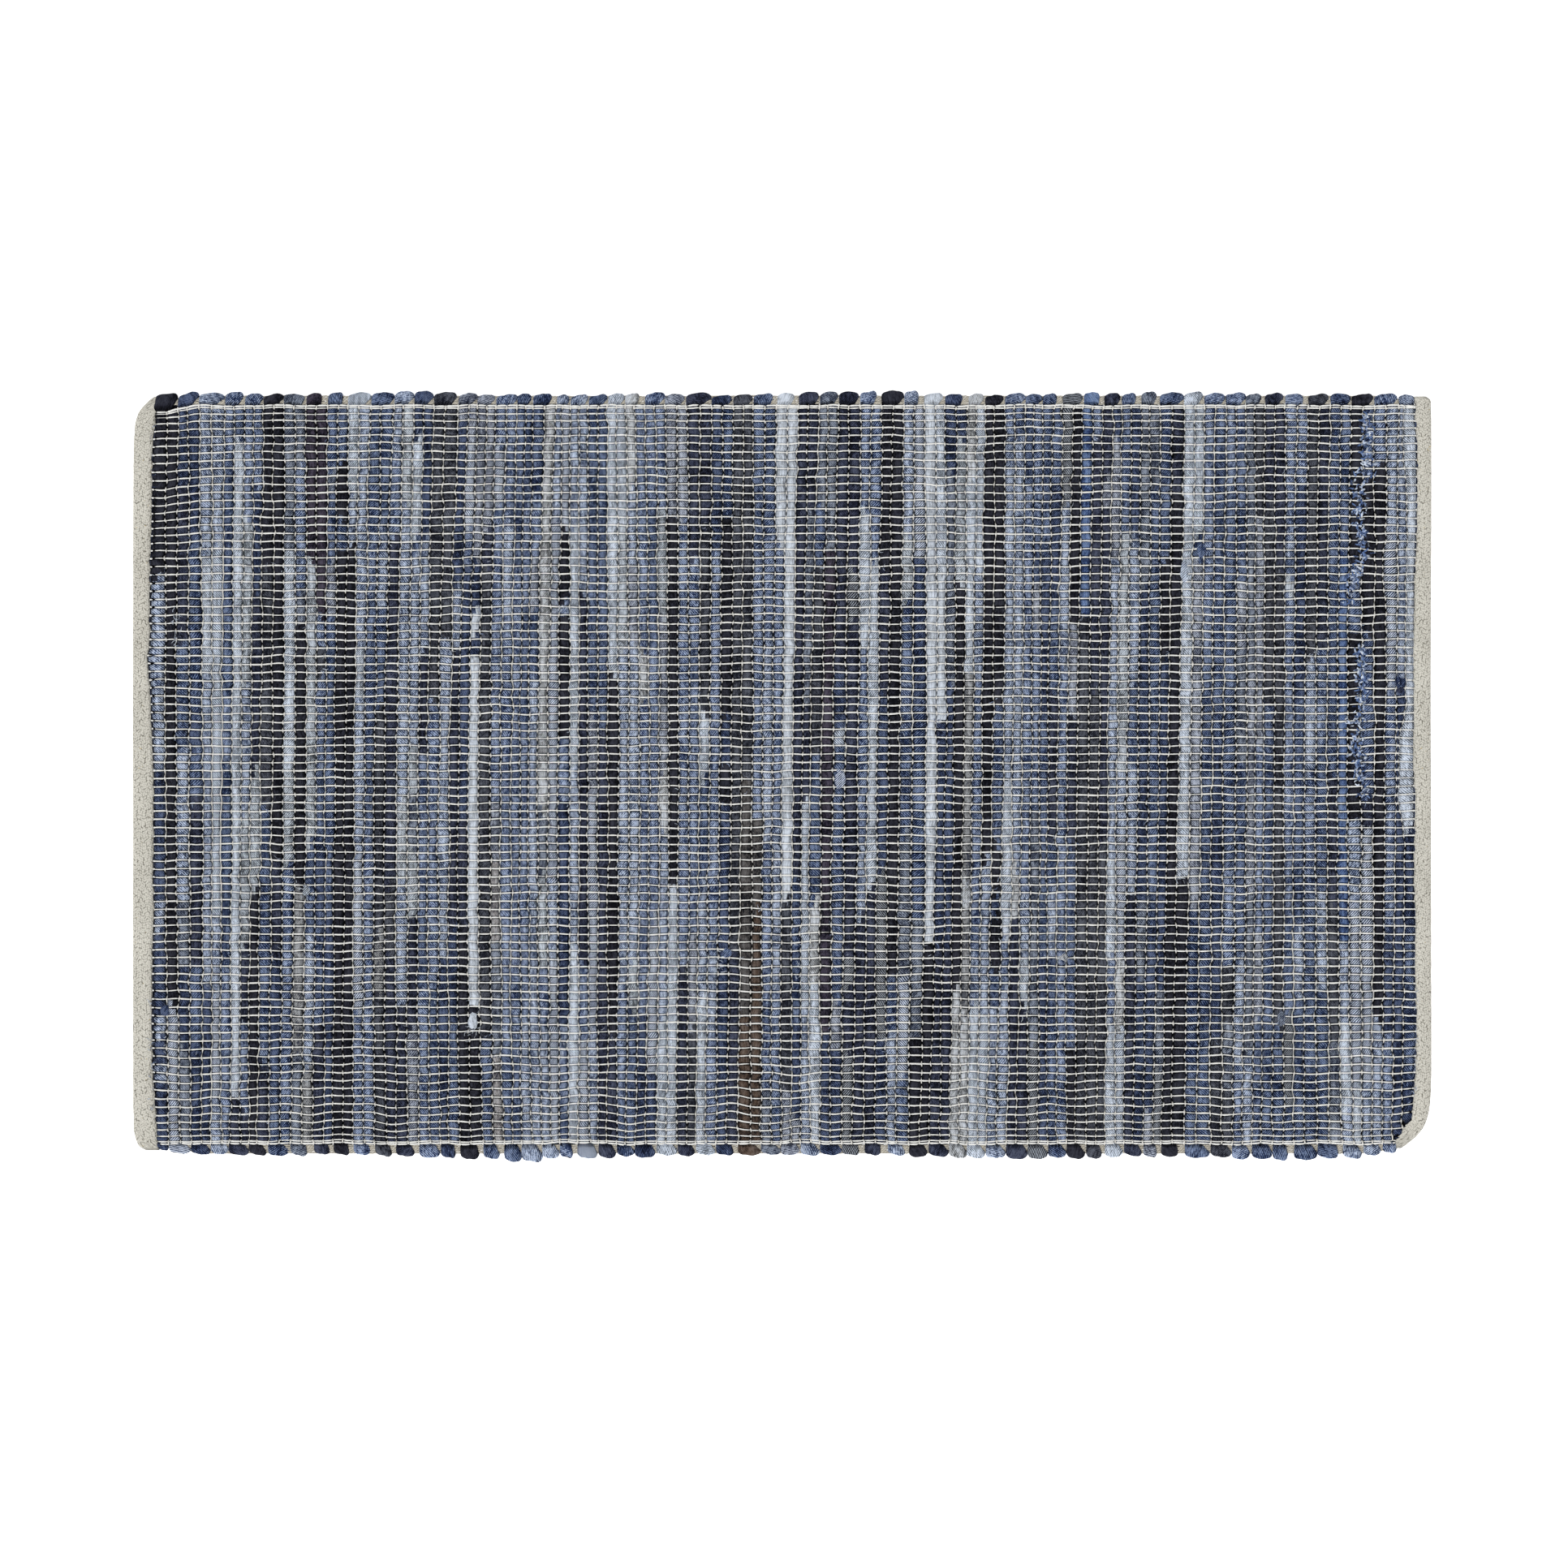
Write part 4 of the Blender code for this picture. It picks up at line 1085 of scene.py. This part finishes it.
def make_tape(name, table, direction):
    """A folded tape between its outer and inner edges. direction is 1 where its inside is to the right."""
    table = np.array(table)
    inner_ripple = Wander(43, 0.9, 30, 26, waves=12)
    pucker = Wander(44, 0.22, 24, 34, waves=12)
    even, given = np.linspace(0, 1, TAPE_ROWS), np.linspace(0, 1, len(table))
    down = 0.5 * np.interp(even, given, table[:, 0]) + 0.5 * np.linspace(table[0, 0], table[-1, 0], TAPE_ROWS)
    outer = np.interp(down, table[:, 0], table[:, 1])
    inner = np.interp(down, table[:, 0], table[:, 2])
    inner = inner + inner_ripple.at(0.0, down)
    outer = outer + 0.35 * pucker.at(200.0, down)
    width = np.abs(inner - outer) * PIXEL
    shape = np.empty((TAPE_ROWS, TAPE_AROUND * 2, 3))
    leaf = np.linspace(0, 1, LEAF_POINTS)
    shares = np.concatenate([leaf[::-1], np.zeros(FOLD_POINTS), leaf])
    fold = np.linspace(-math.pi / 2, math.pi / 2, FOLD_POINTS + 2)[1:-1]
    angles = np.concatenate([np.full(LEAF_POINTS, -math.pi / 2), fold, np.full(LEAF_POINTS, math.pi / 2)])
    for skin, inset in ((0, 0.0), (1, TAPE_LEAF)):
        radius = TAPE_TOP / 2 - inset
        nose = np.minimum(1.9, 0.45 * width)[:, None]
        swell = 0.35 * np.sin(math.pi * shares)[None, :] * (angles > 0)
        x = nose + (width[:, None] - nose) * shares[None, :] - (nose - inset * 0.7) * np.cos(angles)[None, :]
        z = TAPE_TOP / 2 + radius * np.sin(angles)[None, :] + swell
        upper = (np.sin(angles) > 0.3).astype(float)[None, :]
        z = z + upper * pucker.at(shares[None, :] * 60, down[:, None])
        z = z - upper * 0.55 * smooth(shares, 0.8, 1.0)[None, :]
        columns = np.arange(TAPE_AROUND)
        columns = columns if skin == 0 else 2 * TAPE_AROUND - 1 - columns
        shape[:, columns, 0] = outer[:, None] + direction * x / PIXEL
        shape[:, columns, 1] = down[:, None]
        shape[:, columns, 2] = z
    gaps = np.hypot(np.diff(shape[:, :, 0] * PIXEL, axis=1), np.diff(shape[:, :, 2], axis=1))
    run = np.concatenate([np.zeros((TAPE_ROWS, 1)), np.cumsum(gaps, axis=1)], axis=1)
    along = np.broadcast_to(down[:, None] * PIXEL, run.shape)
    weave = np.stack([run, along, np.full(run.shape, 0.5)], axis=-1)
    piece = Piece(name, [TAPE_COTTON])
    piece.add(shape, band_faces(TAPE_ROWS, TAPE_AROUND), weave)
    return piece.build()


# Knots and loose ends


KNOT_RINGS = 13
KNOT_AROUND = 18


def make_knots():
    draw = np.random.default_rng(51)
    piece = Piece("knots", CLOTH_MATERIALS)
    turn = np.linspace(0, 2 * math.pi, KNOT_AROUND + 1)[None, :-1]
    tilt = np.linspace(0.04, math.pi - 0.04, KNOT_RINGS)[:, None]
    faces = tube_faces(KNOT_RINGS, KNOT_AROUND, [(0, i, i + 1, i + 2) for i in range(1, KNOT_AROUND - 2, 2)])
    for across, down, wide, long_, cloth in KNOTS:
        lumps = 1 + 0.10 * np.sin(3 * turn + draw.uniform(0, 6)) * np.sin(tilt)
        lumps = lumps + 0.07 * np.sin(5 * turn + 4 * tilt)
        x = across + wide * np.sin(tilt) * np.cos(turn) * lumps
        y = down + long_ * np.sin(tilt) * np.sin(turn) * lumps
        z = 5.0 + 1.5 * np.cos(tilt) * lumps
        points = np.stack(np.broadcast_arrays(x, y, z), axis=-1)
        weave = np.stack(np.broadcast_arrays((x - across) * PIXEL, y * PIXEL, draw.uniform()), axis=-1)
        # The side value darkens each knot towards its rim in the cloth material: painted shade.
        rag = np.stack(np.broadcast_arrays(0.8 * np.sin(tilt) ** 6 + 0 * turn, 0.0, 0.6), axis=-1)
        piece.add(points, faces, weave, rag, np.full(len(faces), CLOTH_NAMES.index(cloth)))
    return piece.build()


HAIR_POINTS = 5
HAIR_HEIGHT = 6.15
# Where the stray threads lie, in px down
STRAYS_FROM, STRAYS_TO = 510, 1385


def add_hair(piece, across, down, cloth, length, draw, wide=1.0):
    """A short curl of thread that lies on the weave, two faces wide."""
    count = HAIR_POINTS
    way = draw.uniform(0, 2 * math.pi)
    headings = way + np.cumsum(draw.normal(0, 0.5, count))
    x = across + np.cumsum(np.cos(headings)) * length / count
    y = down + np.cumsum(np.sin(headings)) * length / count
    z = HAIR_HEIGHT + 0.35 * np.sin(np.linspace(0, math.pi, count)) - 0.5 * (np.arange(count) == 0)
    path = np.stack([x, y, z], axis=-1)
    thick = np.linspace(1.0, 0.5, count) * draw.uniform(0.12, 0.22) * wide
    points = ribbon(path, thick, 0.09 * wide, 0.07 * wide)
    weave = np.zeros((count, 3, 3))
    weave[:, :, 1] = 0.15 * np.arange(count)[:, None]
    weave[:, :, 2] = draw.uniform()
    worn = np.full((count - 1) * 2, CLOTH_NAMES.index(cloth))
    piece.add(points, grid_faces(count, 3), weave, None, worn, "up")


def add_frays(piece, draw):
    """Threads that stand out of the weave in one place."""
    for across, down, wide, long_, count, cloth in FRAYS:
        for _ in range(count):
            x = across + draw.normal(0, 0.5) * wide
            y = down + draw.uniform(-1, 1) * long_
            add_hair(piece, x, y, cloth, draw.uniform(4, 10), draw)


def add_ruffles(piece, draw):
    """The frayed blue strips, as many broad curls of torn cloth."""
    for strip in RUFFLES:
        down, middle, half = np.array(strip, float).T
        for _ in range(RUFFLE_CURLS):
            y = draw.uniform(down[0], down[-1])
            x = np.interp(y, down, middle) + draw.normal(0, 0.6) * np.interp(y, down, half)
            cloth = RUFFLE_CLOTHS[int(draw.integers(len(RUFFLE_CLOTHS)))]
            add_hair(piece, x, y, cloth, draw.uniform(5, 10), draw, wide=draw.uniform(2.5, 5.0))


def add_strays(piece, draw):
    """Paler threads along the torn sides of the rags, and two where each rag ends."""
    for _ in range(STRAY_THREADS):
        pick = int(draw.integers(1, PICKS))
        y = draw.uniform(STRAYS_FROM, STRAYS_TO)
        cloth = cloth_at(pick, y)
        if cloth in PALER:
            x = valley(pick, y) + draw.normal(0, 1.5)
            add_hair(piece, x, y, PALER[cloth], draw.uniform(3, 9), draw)
    for pick in range(PICKS):
        for (cloth, end), (following, _) in zip(DRAFT[pick][:-1], DRAFT[pick][1:]):
            worn = PALER.get(cloth, PALER.get(following, "grey"))
            for _ in range(2):
                x = valley(pick, end) + draw.uniform(1, 12)
                add_hair(piece, x, end + draw.normal(0, 6), worn, draw.uniform(4, 9), draw)


def make_loose_threads():
    draw = np.random.default_rng(52)
    piece = Piece("loose_threads", CLOTH_MATERIALS)
    add_frays(piece, draw)
    add_ruffles(piece, draw)
    add_strays(piece, draw)
    return piece.build()


# Build everything

PANELS = (("rags_left", 0, 41), ("rags_middle", 41, 82), ("rags_right", 82, PICKS))
panels = [make_panel(*panel) for panel in PANELS]
warp_over, warp_under = make_warps()
thin_picks = make_thin_picks()
loops_far, loops_near = make_loops()
selvedge_threads = make_bundles()
knots = make_knots()
loose_threads = make_loose_threads()
tape_left = make_tape("end_tape_left", LEFT_TAPE, 1)
tape_right = make_tape("end_tape_right", RIGHT_TAPE, -1)

for panel in panels:
    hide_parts("field")
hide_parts("tape_left")
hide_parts("tape_right")


# Floor, light and camera


def make_floor():
    bpy.ops.mesh.primitive_plane_add(size=12.0, location=(0, 0, -0.0002))
    floor = bpy.context.object
    floor.name = "floor"
    recipe = Recipe("pale_floor", 0.9)
    recipe.shader.inputs["Specular IOR Level"].default_value = 0.0
    recipe.shader.inputs["Base Color"].default_value = (0.92, 0.92, 0.92, 1.0)
    recipe.shader.inputs["Emission Color"].default_value = (1.0, 1.0, 1.0, 1.0)
    recipe.shader.inputs["Emission Strength"].default_value = 0.7
    floor.data.materials.append(recipe.material)


def make_light():
    world = bpy.data.worlds.new("soft_room")
    world.use_nodes = True
    background = world.node_tree.nodes["Background"]
    background.inputs["Color"].default_value = (1.0, 1.0, 1.0, 1.0)
    background.inputs["Strength"].default_value = 0.62
    bpy.context.scene.world = world
    key = bpy.data.lights.new("key", "SUN")
    key.energy = 2.0
    key.angle = math.radians(28)
    lamp = bpy.data.objects.new("key", key)
    lamp.rotation_euler = (math.radians(24), math.radians(-20), 0)
    bpy.context.scene.collection.objects.link(lamp)


def make_camera():
    """Straight down, framed so that a millimetre on the rug covers as many pixels as in the photograph."""
    lens, sensor = 100.0, 36.0
    distance = PHOTO_SIZE * PIXEL * lens / sensor * 0.001
    camera = bpy.data.cameras.new("camera")
    camera.lens = lens
    camera.sensor_width = sensor
    camera.clip_end = 30.0
    holder = bpy.data.objects.new("camera", camera)
    centre = PHOTO_SIZE / 2
    across, up, _ = in_metres((centre, centre, 0.0))
    holder.location = (across, up, distance + 0.004)
    bpy.context.scene.collection.objects.link(holder)
    bpy.context.scene.camera = holder


make_floor()
make_light()
make_camera()
bpy.context.scene.view_settings.view_transform = "Standard"
bpy.context.scene.view_settings.look = "None"
